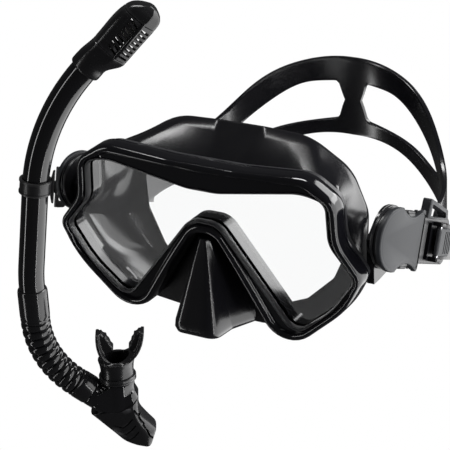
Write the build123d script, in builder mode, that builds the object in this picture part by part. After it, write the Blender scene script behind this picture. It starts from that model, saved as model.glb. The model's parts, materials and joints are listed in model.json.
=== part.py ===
"""Diving mask with a split strap, and its dry-top snorkel.

Frame of the whole set: +Z up, the mask looks along -Y, +X is the wearer's left.
The origin lies on the mask's middle plane, level with the strap, at the front of the lens.
Millimetres throughout.
"""

import os
from math import atan2, cos, radians, sin

from build123d import *

os.makedirs("parts", exist_ok=True)


def save(piece, name):
    """Label one finished piece and write its STEP file."""
    piece.part.label = name
    export_step(piece.part, f"parts/{name}.step")


def save_pair(piece, name):
    """Write a piece of the +X side as the left one, and its mirror image as the right one."""
    save(piece, f"{name}_left")
    with BuildPart() as twin:
        mirror(piece.part, about=Plane.YZ)
    save(twin, f"{name}_right")


# ---------------------------------------------------------------- mask sizes

# Corners of the one-piece lens opening on the +X side: x, z and corner radius.
opening_corners = [
    (9, 19.4, 45),
    (57, 27.6, 30),
    (70.5, 25.0, 6),
    (71.6, 3, 14),
    (86, -14.5, 5),
    (73.2, -33.5, 60),
    (51, -51.5, 8),
    (8.6, 2.5, 12),
]
# Corners of the frame's outer edge, wider over the brow and round the nose arch.
outer_corners = [
    (20, 34.3, 60),
    (60, 37, 20),
    (77, 25.5, 12),
    (78.3, 3.5, 18),
    (91.2, -13, 7),
    (81.5, -32, 60),
    (44.5, -64.8, 17),
    (6.5, -4.5, 10),
]
# Corners of the skirt where it leaves the frame, and of its edge on the face.
skirt_front_corners = [
    (9, 21.4, 40),
    (56, 29.5, 25),
    (72.6, 26.8, 6),
    (73.8, 3, 12),
    (88.2, -14.5, 5),
    (75.4, -34.5, 50),
    (52, -54.5, 9),
    (20, -58, 20),
]
skirt_face_corners = [
    (12, 41, 40),
    (44, 40, 25),
    (67, 25, 14),
    (73, 3, 20),
    (72, -20, 20),
    (61, -45, 20),
    (42, -63, 16),
    (14, -75, 12),
]

frame_front_y = -3.5
bead_round = 2.4
lens_front_y = 2.0
lens_thickness = 4.0
lens_overlap = 2.5            # how far the glass reaches under the bead
lens_gap = 0.15
flange_thickness = 2.0        # skirt flange behind the glass
rear_frame_thickness = 4.0
rear_frame_step = 1.5
side_gap = 0.4                # between neighbours that only lie beside each other
fit_gap = 0.05                # between glued or pushed-on pieces
ear_gap = 1.0
skirt_wall = 2.5
skirt_neck_wall = 1.8
face_edge_y = 46.0
face_lip_width = 10.0
face_lip_thickness = 2.0

flange_y = lens_front_y + lens_thickness
rear_frame_y = flange_y + flange_thickness
skirt_shell_y = rear_frame_y + rear_frame_thickness

# Nose pocket: a wedge that widens downwards and forwards from the arch.
nose_top_z, nose_bottom_z = -7.0, -58.0
nose_top_front_y, nose_bottom_front_y = -3.0, -21.0
nose_top_front_half, nose_bottom_front_half = 1.5, 10.0
nose_top_back_half, nose_bottom_back_half = 4.0, 35.0
nose_roof = 18.0
nose_side_share = 1.1

# Strap ears and buckles. Each buckle hangs back and down from its swivel pin.
pivot_y, pivot_z = 31.0, -3.5
buckle_tilt = -24.0
ear_inner_x = 86.5
ear_thickness = 4.0
ear_radius = 16.5
ear_root_length, ear_root_height, ear_root_z = 6.0, 24.0, -9.0
pin_radius = 5.0
pin_reach = 3.2               # how far the pin stands in the buckle
pin_head_radius = 7.5
pin_head_thickness = 1.5
running_clearance = 0.05
buckle_thickness = 5.5
buckle_front_radius = 16.0
buckle_front_u = -4.0
buckle_length = 38.0
buckle_rear_half = 12.4
cover_thickness = 3.0
cover_step = 1.2
cover_round = 1.4
scoop_radius = 15.0
scoop_depth = 3.0
button_u, button_width = 15.0, 11.0
button_inner_v, button_outer_v = 8.6, 16.0
button_depth = 2.6
button_clearance = 0.2
spring_strip = 0.8
spring_bow = 2.4

ratchet_length = 30.0
window_start, window_end = 8.0, 24.0
window_half = 10.0
roller_u = buckle_length + 17.0
roller_radius = 3.0
roller_half = 9.6
roller_pin_radius = 1.2
pawl_u = buckle_length + 4.0
pawl_length, pawl_half = 16.0, 7.6
pawl_thickness = 2.0
pawl_knuckle = 2.0
pawl_pin_radius = 0.9
lug_width = 2.0

# Strap: half an ellipse in plan round the head, in two bands that join over the buckles.
strap_thickness = 2.4
strap_gap = 0.3
strap_half_width = 89.3
strap_depth = 90.0
strap_start_y = 84.0
strap_half_in_buckle = 9.3
strap_inner_run = 13.0
strap_tail = 26.0
strap_reach = 50.0            # taller than any part of the strap

buckle_x = ear_inner_x + ear_thickness + side_gap
cover_x = buckle_x + buckle_thickness
roller_x = buckle_x + buckle_thickness / 2 + 0.3
strap_loop_radius = roller_radius + strap_gap + strap_thickness / 2
strap_outer_face_x = roller_x + strap_loop_radius + strap_thickness / 2
pawl_x = strap_outer_face_x + side_gap


def outline(corners, grow=0.0):
    """Filled outline that has the given corners on the +X side and their mirror images on -X."""
    right = [(x, z) for x, z, r in corners]
    left = [(-x, z) for x, z in reversed(right)]
    radii = [r for x, z, r in corners]
    with BuildSketch(Plane.XY) as filled:
        with BuildLine():
            FilletPolyline(*right, *left, radius=radii + radii[::-1], close=True)
        make_face()
        if grow:
            offset(amount=grow, mode=Mode.REPLACE)
    return filled.sketch_local


def at_depth(y):
    """Plane parallel to the lens at depth y; its normal points forwards, along -Y."""
    return Plane.XZ.offset(-y)


opening = outline(opening_corners)
lens_recess = outline(opening_corners, lens_overlap)
lens_outline = outline(opening_corners, lens_overlap - lens_gap)
neck_outline = outline(opening_corners, skirt_neck_wall)
neck_passage = outline(opening_corners, skirt_neck_wall + side_gap)

# ---------------------------------------------------------------- mask

with BuildPart() as front_frame:
    with BuildSketch(at_depth(rear_frame_y)):
        add(outline(outer_corners))
    extrude(amount=rear_frame_y - frame_front_y)
    fillet(front_frame.faces().sort_by(Axis.Y)[0].edges(), bead_round)
    with BuildSketch(at_depth(rear_frame_y)):
        add(opening)
    extrude(amount=rear_frame_y - frame_front_y, mode=Mode.SUBTRACT)
    with BuildSketch(at_depth(rear_frame_y)):
        add(lens_recess)
    extrude(amount=rear_frame_y - lens_front_y, mode=Mode.SUBTRACT)
save(front_frame, "front_frame")

with BuildPart() as lens:
    with BuildSketch(at_depth(flange_y)):
        add(lens_outline)
    extrude(amount=lens_thickness)
save(lens, "lens")

with BuildPart() as rear_frame:
    with BuildSketch(at_depth(skirt_shell_y)):
        add(outline(outer_corners, -rear_frame_step))
        add(neck_passage, mode=Mode.SUBTRACT)
    extrude(amount=rear_frame_thickness)
save(rear_frame, "rear_frame")


def nose_wedge(inset, top_z, bottom_z, back_y):
    """Wedge of the nose pocket between two heights; inset shrinks it for the hollow inside."""
    with BuildPart() as wedge:
        for z in (top_z, bottom_z):
            share = (nose_top_z - z) / (nose_top_z - nose_bottom_z)
            front = nose_top_front_half + share * (nose_bottom_front_half - nose_top_front_half)
            back = nose_top_back_half + share * (nose_bottom_back_half - nose_top_back_half)
            front_y = nose_top_front_y + share * (nose_bottom_front_y - nose_top_front_y) + inset
            half_front = front - inset * nose_side_share
            half_back = back - inset * nose_side_share
            with BuildSketch(Plane.XY.offset(z)):
                with BuildLine():
                    Polyline(
                        (-half_front, front_y),
                        (half_front, front_y),
                        (half_back, back_y),
                        (-half_back, back_y),
                        close=True,
                    )
                make_face()
        loft(ruled=True)
    return wedge.part


nose_shell = nose_wedge(0, nose_top_z, nose_bottom_z, skirt_shell_y + skirt_wall)
nose_hollow = nose_wedge(
    skirt_wall, nose_top_z - nose_roof, nose_bottom_z + skirt_wall, skirt_shell_y + 2 * skirt_wall
)

with BuildPart() as skirt:
    with BuildSketch(at_depth(skirt_shell_y)):
        add(outline(skirt_front_corners))
    with BuildSketch(at_depth(face_edge_y)):
        add(outline(skirt_face_corners))
    loft(ruled=True)
    add(nose_shell)
    with BuildSketch(at_depth(skirt_shell_y + skirt_wall)):
        add(outline(skirt_front_corners, -skirt_wall))
    with BuildSketch(at_depth(face_edge_y - face_lip_thickness)):
        add(outline(skirt_face_corners, -skirt_wall))
    loft(ruled=True, mode=Mode.SUBTRACT)
    with BuildSketch(at_depth(face_edge_y)):
        add(outline(skirt_face_corners, -face_lip_width))
    extrude(amount=2 * face_lip_thickness, mode=Mode.SUBTRACT)
    add(nose_hollow, mode=Mode.SUBTRACT)
    with BuildSketch(at_depth(skirt_shell_y + skirt_wall)):
        add(neck_outline)
    extrude(amount=skirt_shell_y + skirt_wall - rear_frame_y)
    with BuildSketch(at_depth(rear_frame_y)):
        add(lens_outline)
    extrude(amount=flange_thickness)
    with BuildSketch(at_depth(skirt_shell_y + skirt_wall)):
        add(opening)
    extrude(amount=skirt_shell_y + skirt_wall - flange_y, mode=Mode.SUBTRACT)
save(skirt, "skirt")

# ---------------------------------------------------------------- ears, pins and buckles

lean = radians(buckle_tilt)
buckle_back = Vector(0, cos(lean), sin(lean))
buckle_up = Vector(0, -sin(lean), cos(lean))


def buckle_plane(x):
    """Plane of the left buckle at x: local x runs back along the buckle, local y runs up."""
    return Plane(origin=(x, pivot_y, pivot_z), x_dir=buckle_back, z_dir=(1, 0, 0))


def cross_plane(u, x, v):
    """Plane across the left buckle at height v: local x points outwards, the normal runs up."""
    origin = Vector(x, pivot_y, pivot_z) + buckle_back * u + buckle_up * v
    return Plane(origin=origin, x_dir=(1, 0, 0), z_dir=buckle_up)


def buckle_outline(front_radius, length, rear_half):
    """Flat shape with a round front about the swivel and a narrower square rear."""
    with BuildSketch(Plane.XY) as shape:
        with Locations((buckle_front_u, 0)):
            Circle(front_radius)
        with BuildLine():
            Polyline(
                (buckle_front_u, front_radius),
                (length, rear_half),
                (length, -rear_half),
                (buckle_front_u, -front_radius),
                close=True,
            )
        make_face()
    return shape.sketch_local


with BuildPart() as skirt_keepout:
    with BuildSketch(at_depth(skirt_shell_y)):
        add(outline(skirt_front_corners, ear_gap))
    with BuildSketch(at_depth(face_edge_y)):
        add(outline(skirt_face_corners, ear_gap))
    loft(ruled=True)

with BuildPart() as ear:
    with BuildSketch(Plane.YZ.offset(ear_inner_x)):
        with Locations((pivot_y, pivot_z)):
            Circle(ear_radius)
        with Locations((skirt_shell_y + ear_root_length / 2, ear_root_z)):
            Rectangle(ear_root_length, ear_root_height)
        make_hull()
        with Locations((pivot_y, pivot_z)):
            Circle(pin_radius, mode=Mode.SUBTRACT)
    extrude(amount=ear_thickness)
    add(skirt_keepout.part, mode=Mode.SUBTRACT)
save_pair(ear, "strap_ear")

with BuildPart() as swivel_pin:
    with BuildSketch(buckle_plane(ear_inner_x - pin_head_thickness)):
        Circle(pin_head_radius)
    extrude(amount=pin_head_thickness)
    with BuildSketch(buckle_plane(ear_inner_x)):
        Circle(pin_radius)
    extrude(amount=ear_thickness + side_gap + pin_reach - running_clearance)
save_pair(swivel_pin, "swivel_pin")

channel_depth = button_depth + 2 * button_clearance
with BuildPart() as buckle_body:
    with BuildSketch(buckle_plane(buckle_x)):
        add(buckle_outline(buckle_front_radius, buckle_length, buckle_rear_half))
    extrude(amount=buckle_thickness)
    with BuildSketch(buckle_plane(buckle_x)):
        Circle(pin_radius + running_clearance)
    extrude(amount=pin_reach, mode=Mode.SUBTRACT)
    with BuildSketch(buckle_plane(cover_x)):
        with Locations((button_u, 0)):
            Rectangle(button_width + 2 * button_clearance, 3 * buckle_front_radius)
    extrude(amount=-channel_depth, mode=Mode.SUBTRACT)
save_pair(buckle_body, "buckle_body")

with BuildPart() as buckle_cover:
    with BuildSketch(buckle_plane(cover_x)):
        add(buckle_outline(buckle_front_radius - cover_step, buckle_length - cover_step,
                           buckle_rear_half))
        with Locations((button_u, buckle_front_radius + scoop_radius - scoop_depth)):
            Circle(scoop_radius, mode=Mode.SUBTRACT)
    extrude(amount=cover_thickness)
    fillet(buckle_cover.faces().sort_by(Axis.X)[-1].edges(), cover_round)
save_pair(buckle_cover, "buckle_cover")

for side, where in ((1, "upper"), (-1, "lower")):
    with BuildPart() as button:
        with BuildSketch(buckle_plane(cover_x - button_clearance)):
            with Locations((button_u, side * (button_inner_v + button_outer_v) / 2)):
                Rectangle(button_width, button_outer_v - button_inner_v)
        extrude(amount=-button_depth)
        outer_edges = button.edges().filter_by(Axis.X).sort_by(Axis.Z)
        fillet(outer_edges[-2:] if side > 0 else outer_edges[:2], button_width / 5)
    save_pair(button, f"{where}_button")

with BuildPart() as button_spring:
    spring_half = button_inner_v - button_clearance
    with BuildSketch(buckle_plane(cover_x - button_clearance)):
        with BuildLine():
            ThreePointArc((button_u, -spring_half), (button_u + spring_bow, 0),
                          (button_u, spring_half))
            ThreePointArc((button_u + spring_strip, -spring_half),
                          (button_u + spring_bow + spring_strip, 0),
                          (button_u + spring_strip, spring_half))
            Line((button_u, -spring_half), (button_u + spring_strip, -spring_half))
            Line((button_u, spring_half), (button_u + spring_strip, spring_half))
        make_face()
    extrude(amount=-button_depth)
save_pair(button_spring, "button_spring")

with BuildPart() as ratchet_frame:
    with BuildSketch(buckle_plane(buckle_x)):
        with Locations((buckle_length + ratchet_length / 2, 0)):
            Rectangle(ratchet_length, 2 * buckle_rear_half)
        with Locations((buckle_length + (window_start + window_end) / 2, 0)):
            Rectangle(window_end - window_start, 2 * window_half, mode=Mode.SUBTRACT)
    extrude(amount=buckle_thickness)
    for side in (1, -1):
        with BuildSketch(buckle_plane(cover_x)):
            with Locations((pawl_u, side * (pawl_half + side_gap + lug_width / 2))):
                Rectangle(2 * pawl_knuckle, lug_width)
        extrude(amount=pawl_x - cover_x + pawl_knuckle)
    pin_length = 2 * buckle_rear_half
    with BuildSketch(cross_plane(roller_u, roller_x, -buckle_rear_half)):
        Circle(roller_pin_radius)
    extrude(amount=pin_length, mode=Mode.SUBTRACT)
    with BuildSketch(cross_plane(pawl_u, pawl_x, -buckle_rear_half)):
        Circle(pawl_pin_radius)
    extrude(amount=pin_length, mode=Mode.SUBTRACT)
save_pair(ratchet_frame, "ratchet_frame")

with BuildPart() as roller_pin:
    with BuildSketch(cross_plane(roller_u, roller_x, -buckle_rear_half)):
        Circle(roller_pin_radius)
    extrude(amount=2 * buckle_rear_half)
save_pair(roller_pin, "roller_pin")

with BuildPart() as strap_roller:
    with BuildSketch(cross_plane(roller_u, roller_x, -roller_half)):
        Circle(roller_radius)
        Circle(roller_pin_radius + running_clearance, mode=Mode.SUBTRACT)
    extrude(amount=2 * roller_half)
save_pair(strap_roller, "strap_roller")

pawl_pin_half = pawl_half + side_gap + lug_width
with BuildPart() as pawl_pin:
    with BuildSketch(cross_plane(pawl_u, pawl_x, -pawl_pin_half)):
        Circle(pawl_pin_radius)
    extrude(amount=2 * pawl_pin_half)
save_pair(pawl_pin, "pawl_pin")

with BuildPart() as ratchet_pawl:
    with BuildSketch(cross_plane(pawl_u, pawl_x, -pawl_half)):
        Circle(pawl_knuckle)
        with Locations((pawl_knuckle - pawl_thickness / 2, pawl_length / 2)):
            Rectangle(pawl_thickness, pawl_length)
        Circle(pawl_pin_radius + running_clearance, mode=Mode.SUBTRACT)
    extrude(amount=2 * pawl_half)
save_pair(ratchet_pawl, "ratchet_pawl")

# ---------------------------------------------------------------- strap


def strap_band():
    """Front view of the whole strap, between its upper and lower edges."""
    with BuildSketch(Plane.XY) as band:
        with BuildLine():
            upper = Spline((-92, -12), (-78, -6), (-58, 15), (-32, 30), (0, 34.5), (32, 30),
                           (58, 15), (78, -6), (92, -12))
            lower = Spline((-92, -34), (-70, -31), (-40, -19), (0, -13.5), (40, -19),
                           (70, -31), (92, -34))
            Line(upper @ 0, lower @ 0)
            Line(upper @ 1, lower @ 1)
        make_face()
    return band.sketch_local


def strap_slot():
    """Front view of the opening between the two bands on the +X side."""
    with BuildSketch(Plane.XY) as slot:
        with BuildLine():
            FilletPolyline((7, 20), (30, 17), (50, 6), (70, -14), (71, -20), (48, -12),
                           (7, -3.5), radius=[4, 30, 30, 3, 3, 40, 4], close=True)
        make_face()
    return slot.sketch_local


def strap_loop():
    """Left end of the strap: an inner run, a turn about the roller and a tail outside it."""
    with BuildPart() as end:
        with BuildSketch(cross_plane(roller_u, roller_x, -strap_half_in_buckle)):
            outside = strap_loop_radius + strap_thickness / 2
            inside = strap_loop_radius - strap_thickness / 2
            Circle(outside)
            Circle(inside, mode=Mode.SUBTRACT)
            with Locations((0, outside)):
                Rectangle(3 * outside, 2 * outside, mode=Mode.SUBTRACT)
            with Locations((-strap_loop_radius, strap_inner_run / 2)):
                Rectangle(strap_thickness, strap_inner_run)
            with Locations((strap_loop_radius, strap_tail / 2)):
                Rectangle(strap_thickness, strap_tail)
        extrude(amount=2 * strap_half_in_buckle)
    return end.part


with BuildPart() as strap:
    with BuildSketch(at_depth(strap_start_y)):
        add(strap_band())
    extrude(amount=-strap_depth - strap_thickness)
    with BuildSketch(Plane.XY.offset(-strap_reach)):
        with Locations((0, strap_start_y)):
            Ellipse(strap_half_width + strap_thickness / 2, strap_depth + strap_thickness / 2)
            Ellipse(strap_half_width - strap_thickness / 2, strap_depth - strap_thickness / 2,
                    mode=Mode.SUBTRACT)
    extrude(amount=2 * strap_reach, mode=Mode.INTERSECT)
    for flip in (False, True):
        with BuildSketch(at_depth(strap_start_y)):
            add(mirror(strap_slot(), about=Plane.YZ, mode=Mode.PRIVATE) if flip else strap_slot())
        extrude(amount=-strap_depth - strap_thickness, mode=Mode.SUBTRACT)
    add(strap_loop())
    add(mirror(strap_loop(), about=Plane.YZ, mode=Mode.PRIVATE))
save(strap, "strap")

# ---------------------------------------------------------------- snorkel sizes

snorkel_turn = 32.0           # the snorkel's own plane is turned this far from the mask's
snorkel_origin = (-216, 133, -104)
tube_radius = 8.75
tube_wall = 1.5
tube_corners = [(-5, -50), (-5, -30), (10.3, 79.9), (48, 119)]
tube_bends = [120, 140]
keeper_share = 0.475          # place of the keeper along the tube
keeper_height = 10.0
keeper_wall = 1.8
keeper_gap = 0.3
keeper_reach = 14.0
keeper_bar_height = 24.0
keeper_pin_radius = 1.1
keeper_knuckle = 2.2
keeper_loop_width = 9.2
keeper_loop_height = 28.0
keeper_loop_thickness = 2.4
keeper_web = 3.0
keeper_window_y, keeper_window_width = 21.4, 7.2
keeper_cut = 8.0
cuff_top_t, cuff_bottom_t = -38.0, -62.0
cuff_radius = 10.2
hose_radius = 8.6
hose_wall = 1.4
hose_rib = 1.3
hose_bend = 64.0
hose_turn = 50.4
hose_ribs = 10
lower_cuff_length = 12.0
dry_width, dry_depth = 21.0, 25.0
dry_offset = 4.0
dry_wall = 2.0
collar_length = 7.0
seat_w, shroud_w, cap_w, tip_w = 9.0, 13.0, 41.0, 52.0
slot_count = 8
slot_height = 1.7
slot_pitch = 3.1
slot_start = 0.8              # first slot, in pitches past the collar
dry_corner, dry_tip_corner = 8.0, 5.0
tip_less_width, tip_less_depth = 8.0, 9.0
seat_lip = 1.0
float_round = 1.5
float_radius = 8.2
float_start_w, float_length = 25.0, 10.0
flap_radius = 6.0
flap_thickness = 1.2
flap_hinge_y = -5.6
flap_open = 35.0
flap_gap = 0.3
flap_arm = 0.4
barrel_s = 47.0
barrel_radius = 11.5
barrel_bore = 8.5
barrel_bottom_t, barrel_top_t = -133.0, -112.0
chamber_half = 10.5
shoulder_t = -116.0
duct_boss, duct_bore_length = 14.0, 22.0
purge_hollow = 8.0
mouth_top_t = -94.0
mouth_wall = 2.0
clamp_height = 4.0
clamp_rise = 1.0
clamp_wall = 1.4
guard_length, guard_width, guard_thickness = 34.0, 20.0, 2.4
bite_spread, bite_height, bite_width, bite_thickness = 12.5, 20.0, 12.0, 3.0
cover_wall = 2.0
cover_mouth = 1.0
cover_corners = [(62.5, -139, 12), (73, -152, 2.5), (67, -167.5, 3), (50, -163, 18)]
valve_radius = 8.0
valve_thickness = 1.0
seat_thickness = 1.6
seat_length = 24.0
seat_holes, seat_hole_radius = 6, 1.6
vent_count = 4
vent_s, vent_t, vent_step_s, vent_step_t = 64.0, -138.0, 2.2, -4.4
vent_length, vent_height, vent_turn = 9.0, 1.6, -35.0

turn = radians(snorkel_turn)
across_dir = Vector(cos(turn), sin(turn), 0)
front_dir = Vector(sin(turn), -cos(turn), 0)


def snorkel_plane(n=0.0):
    """The snorkel's own plane moved forwards by n: local x runs across, local y runs up."""
    origin = Vector(*snorkel_origin) + front_dir * n
    return Plane(origin=origin, x_dir=across_dir, z_dir=front_dir)


def on_snorkel(s, t):
    """Point of the snorkel's middle plane, s across and t up."""
    return Vector(*snorkel_origin) + across_dir * s + Vector(0, 0, t)


def across_path(path, share, shift=0.0):
    """Plane square to a path at a share of its length; its local x faces the front."""
    direction = path % share
    origin = (path @ share) + direction * shift
    return Plane(origin=origin, x_dir=front_dir, z_dir=direction)


def ring(plane, outer, inner, height):
    """Round sleeve standing on a plane."""
    with BuildPart() as sleeve:
        with BuildSketch(plane):
            Circle(outer)
            Circle(inner, mode=Mode.SUBTRACT)
        extrude(amount=height)
    return sleeve


# ---------------------------------------------------------------- tube and hose

with BuildLine(snorkel_plane()) as tube_line:
    FilletPolyline(*tube_corners, radius=tube_bends)
tube_path = tube_line.wires()[0]

with BuildPart() as main_tube:
    with BuildSketch(across_path(tube_path, 0)):
        Circle(tube_radius)
        Circle(tube_radius - tube_wall, mode=Mode.SUBTRACT)
    sweep(path=tube_path)
save(main_tube, "main_tube")

cuff_bottom = snorkel_plane().from_local_coords((tube_corners[0][0], cuff_bottom_t))
cuff_plane = Plane(origin=cuff_bottom, x_dir=front_dir, z_dir=(0, 0, 1))
with BuildPart() as hose_cuff:
    with BuildSketch(cuff_plane):
        Circle(cuff_radius)
        Circle(tube_radius + fit_gap, mode=Mode.SUBTRACT)
    extrude(amount=cuff_top_t - cuff_bottom_t)
save(hose_cuff, "hose_cuff")

with BuildLine(snorkel_plane()) as hose_line:
    JernArc((tube_corners[0][0], cuff_bottom_t), (0, -1), hose_bend, hose_turn)
hose_path = hose_line.wires()[0]

with BuildPart() as corrugated_hose:
    with BuildSketch(across_path(hose_path, 0)):
        Circle(hose_radius)
        Circle(hose_radius - hose_wall, mode=Mode.SUBTRACT)
    sweep(path=hose_path)
    for rib in range(hose_ribs):
        share = (rib + 0.5) / hose_ribs
        rib_height = hose_path.length / hose_ribs / 2
        with BuildSketch(across_path(hose_path, share, -rib_height / 2)):
            Circle(hose_radius + hose_rib)
            Circle(hose_radius - hose_wall / 2, mode=Mode.SUBTRACT)
        extrude(amount=rib_height)
save(corrugated_hose, "corrugated_hose")

lower_cuff = ring(across_path(hose_path, 1), cuff_radius, hose_radius - hose_wall,
                  lower_cuff_length)
save(lower_cuff, "lower_cuff")

# ---------------------------------------------------------------- dry top

top = across_path(tube_path, 1)


def dry_outline(inset=0.0, less_width=0.0, less_depth=0.0):
    """Rounded outline of the dry top; inset gives its inner wall, the others its narrower tip."""
    with BuildSketch(Plane.XY) as section:
        with Locations((0, dry_offset)):
            RectangleRounded(dry_width - less_width - 2 * inset,
                             dry_depth - less_depth - 2 * inset,
                             (dry_tip_corner if less_width else dry_corner) - inset)
    return section.sketch_local


with BuildPart() as dry_top_collar:
    with BuildSketch(top.offset(-collar_length)):
        Circle(tube_radius + dry_wall)
        Circle(tube_radius + fit_gap, mode=Mode.SUBTRACT)
    extrude(amount=collar_length)
    with BuildSketch(top):
        Circle(tube_radius + dry_wall)
    with BuildSketch(top.offset(seat_w - dry_wall)):
        add(dry_outline())
    loft(ruled=True)
    with BuildSketch(top.offset(seat_w - dry_wall)):
        add(dry_outline())
    extrude(amount=shroud_w - seat_w + dry_wall)
    with BuildSketch(top.offset(seat_w)):
        add(dry_outline(dry_wall))
    extrude(amount=shroud_w - seat_w, mode=Mode.SUBTRACT)
    with BuildSketch(top.offset(-collar_length)):
        Circle(flap_radius - seat_lip)
    extrude(amount=collar_length + seat_w, mode=Mode.SUBTRACT)
save(dry_top_collar, "dry_top_collar")

with BuildPart() as dry_top_shroud:
    with BuildSketch(top.offset(shroud_w)):
        add(dry_outline())
        add(dry_outline(dry_wall), mode=Mode.SUBTRACT)
    extrude(amount=cap_w - shroud_w)
    for number in range(slot_count):
        slot_w = shroud_w + slot_pitch * (number + slot_start)
        with BuildSketch(top.offset(slot_w)):
            for side in (1, -1):
                with Locations((0, dry_offset + side * dry_depth / 4)):
                    Rectangle(2 * dry_width, dry_depth / 3)
        extrude(amount=slot_height, mode=Mode.SUBTRACT)
save(dry_top_shroud, "dry_top_shroud")

with BuildPart() as dry_top_cap:
    for inset in (0, dry_wall):
        with BuildSketch(top.offset(cap_w)):
            add(dry_outline(inset))
        with BuildSketch(top.offset(tip_w - inset)):
            add(dry_outline(inset, tip_less_width, tip_less_depth))
        loft(ruled=True, mode=Mode.SUBTRACT if inset else Mode.ADD)
save(dry_top_cap, "dry_top_cap")

with BuildPart() as valve_float:
    with BuildSketch(top.offset(float_start_w)):
        with Locations((0, dry_offset)):
            Circle(float_radius)
    extrude(amount=float_length)
    fillet(valve_float.edges(), float_round)
save(valve_float, "valve_float")

flap_hinge = top.from_local_coords((0, flap_hinge_y, seat_w + flap_thickness / 2 + flap_gap))
with BuildPart() as valve_flap:
    open_angle = radians(flap_open)
    flap_dir = top.y_dir * cos(open_angle) + top.z_dir * sin(open_angle)
    flap_plane = Plane(origin=flap_hinge + flap_dir * (flap_radius + flap_arm),
                       x_dir=front_dir, z_dir=front_dir.cross(flap_dir) * -1)
    with BuildSketch(flap_plane.offset(-flap_thickness / 2)):
        Circle(flap_radius)
    extrude(amount=flap_thickness)
save(valve_flap, "valve_flap")

# ---------------------------------------------------------------- snorkel keeper

keeper_plane = across_path(tube_path, keeper_share, -keeper_height / 2)
bar_bottom = keeper_plane.offset((keeper_height - keeper_bar_height) / 2)
keeper_inner = tube_radius + keeper_gap

with BuildPart() as keeper_ring:
    with BuildSketch(keeper_plane):
        Circle(keeper_inner + keeper_wall)
        with Locations((0, keeper_inner + (keeper_reach - keeper_inner) / 2)):
            Rectangle(keeper_web, keeper_reach - keeper_inner)
        Circle(keeper_inner, mode=Mode.SUBTRACT)
    extrude(amount=keeper_height)
    with BuildSketch(bar_bottom):
        with Locations((0, keeper_reach)):
            Circle(keeper_knuckle)
    extrude(amount=keeper_bar_height)
    with BuildSketch(bar_bottom):
        with Locations((0, keeper_reach)):
            Circle(keeper_pin_radius)
    extrude(amount=keeper_bar_height, mode=Mode.SUBTRACT)
save(keeper_ring, "keeper_ring")

loop_bottom = keeper_plane.offset((keeper_height - keeper_loop_height) / 2)
with BuildPart() as keeper_pin:
    with BuildSketch(loop_bottom):
        with Locations((0, keeper_reach)):
            Circle(keeper_pin_radius)
    extrude(amount=keeper_loop_height)
save(keeper_pin, "keeper_pin")

with BuildPart() as keeper_loop:
    with BuildSketch(loop_bottom):
        with Locations((0, keeper_reach)):
            Circle(keeper_knuckle)
        with Locations((0, keeper_reach + keeper_knuckle + keeper_loop_width / 2)):
            Rectangle(keeper_loop_thickness, keeper_loop_width + 2 * keeper_knuckle)
        with Locations((0, keeper_reach)):
            Circle(keeper_pin_radius + running_clearance, mode=Mode.SUBTRACT)
    extrude(amount=keeper_loop_height)
    gap_bottom = bar_bottom.offset(-keeper_gap)
    with BuildSketch(gap_bottom):
        with Locations((0, keeper_reach)):
            Rectangle(keeper_cut, 2 * keeper_knuckle + 2 * keeper_gap)
        with Locations((0, keeper_window_y)):
            Rectangle(keeper_cut, keeper_window_width)
    extrude(amount=keeper_bar_height + 2 * keeper_gap, mode=Mode.SUBTRACT)
save(keeper_loop, "keeper_loop")

# ---------------------------------------------------------------- lower chamber and purge

hose_end = snorkel_plane().to_local_coords(hose_path @ 1)
hose_dir_s, hose_dir_t = cos(radians(hose_turn - 90)), sin(radians(hose_turn - 90))
duct_s = hose_end.X + hose_dir_s * lower_cuff_length
duct_t = hose_end.Y + hose_dir_t * lower_cuff_length
duct_start = on_snorkel(duct_s, duct_t)
duct_dir = across_dir * hose_dir_s + Vector(0, 0, hose_dir_t)
duct_plane = Plane(origin=duct_start, x_dir=front_dir, z_dir=duct_dir)
barrel_plane = Plane(origin=on_snorkel(barrel_s, barrel_bottom_t), x_dir=across_dir,
                     z_dir=(0, 0, 1))
seam_left, seam_right = (26.0, -134.5), (60.0, -123.0)
seam_lean = atan2(seam_right[1] - seam_left[1], seam_right[0] - seam_left[0])
seam_down = across_dir * sin(seam_lean) - Vector(0, 0, cos(seam_lean))
seam_middle = on_snorkel((seam_left[0] + seam_right[0]) / 2, (seam_left[1] + seam_right[1]) / 2)
seam_plane = Plane(origin=seam_middle, x_dir=front_dir, z_dir=seam_down)

with BuildPart() as lower_chamber:
    with BuildSketch(duct_plane):
        Circle(cuff_radius)
    extrude(amount=duct_boss)
    with BuildSketch(snorkel_plane(-chamber_half)):
        with BuildLine():
            Polyline(
                (barrel_s - barrel_radius, shoulder_t),
                (barrel_s + barrel_radius, shoulder_t),
                seam_right,
                seam_left,
                (duct_s + 2, duct_t - 4),
                close=True,
            )
        make_face()
    extrude(amount=2 * chamber_half)
    with BuildSketch(barrel_plane):
        Circle(barrel_radius)
    extrude(amount=barrel_top_t - barrel_bottom_t)
    with BuildSketch(seam_plane):
        Rectangle(4 * cuff_radius, 6 * cuff_radius)
    extrude(amount=2 * cuff_radius, mode=Mode.SUBTRACT)
    with BuildSketch(duct_plane):
        Circle(hose_radius - hose_wall)
    extrude(amount=duct_bore_length, mode=Mode.SUBTRACT)
    with BuildSketch(barrel_plane):
        Circle(barrel_bore)
    extrude(amount=barrel_top_t - barrel_bottom_t, mode=Mode.SUBTRACT)
    with BuildSketch(seam_plane):
        Circle(valve_radius)
    extrude(amount=-purge_hollow, mode=Mode.SUBTRACT)
save(lower_chamber, "lower_chamber")

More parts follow.
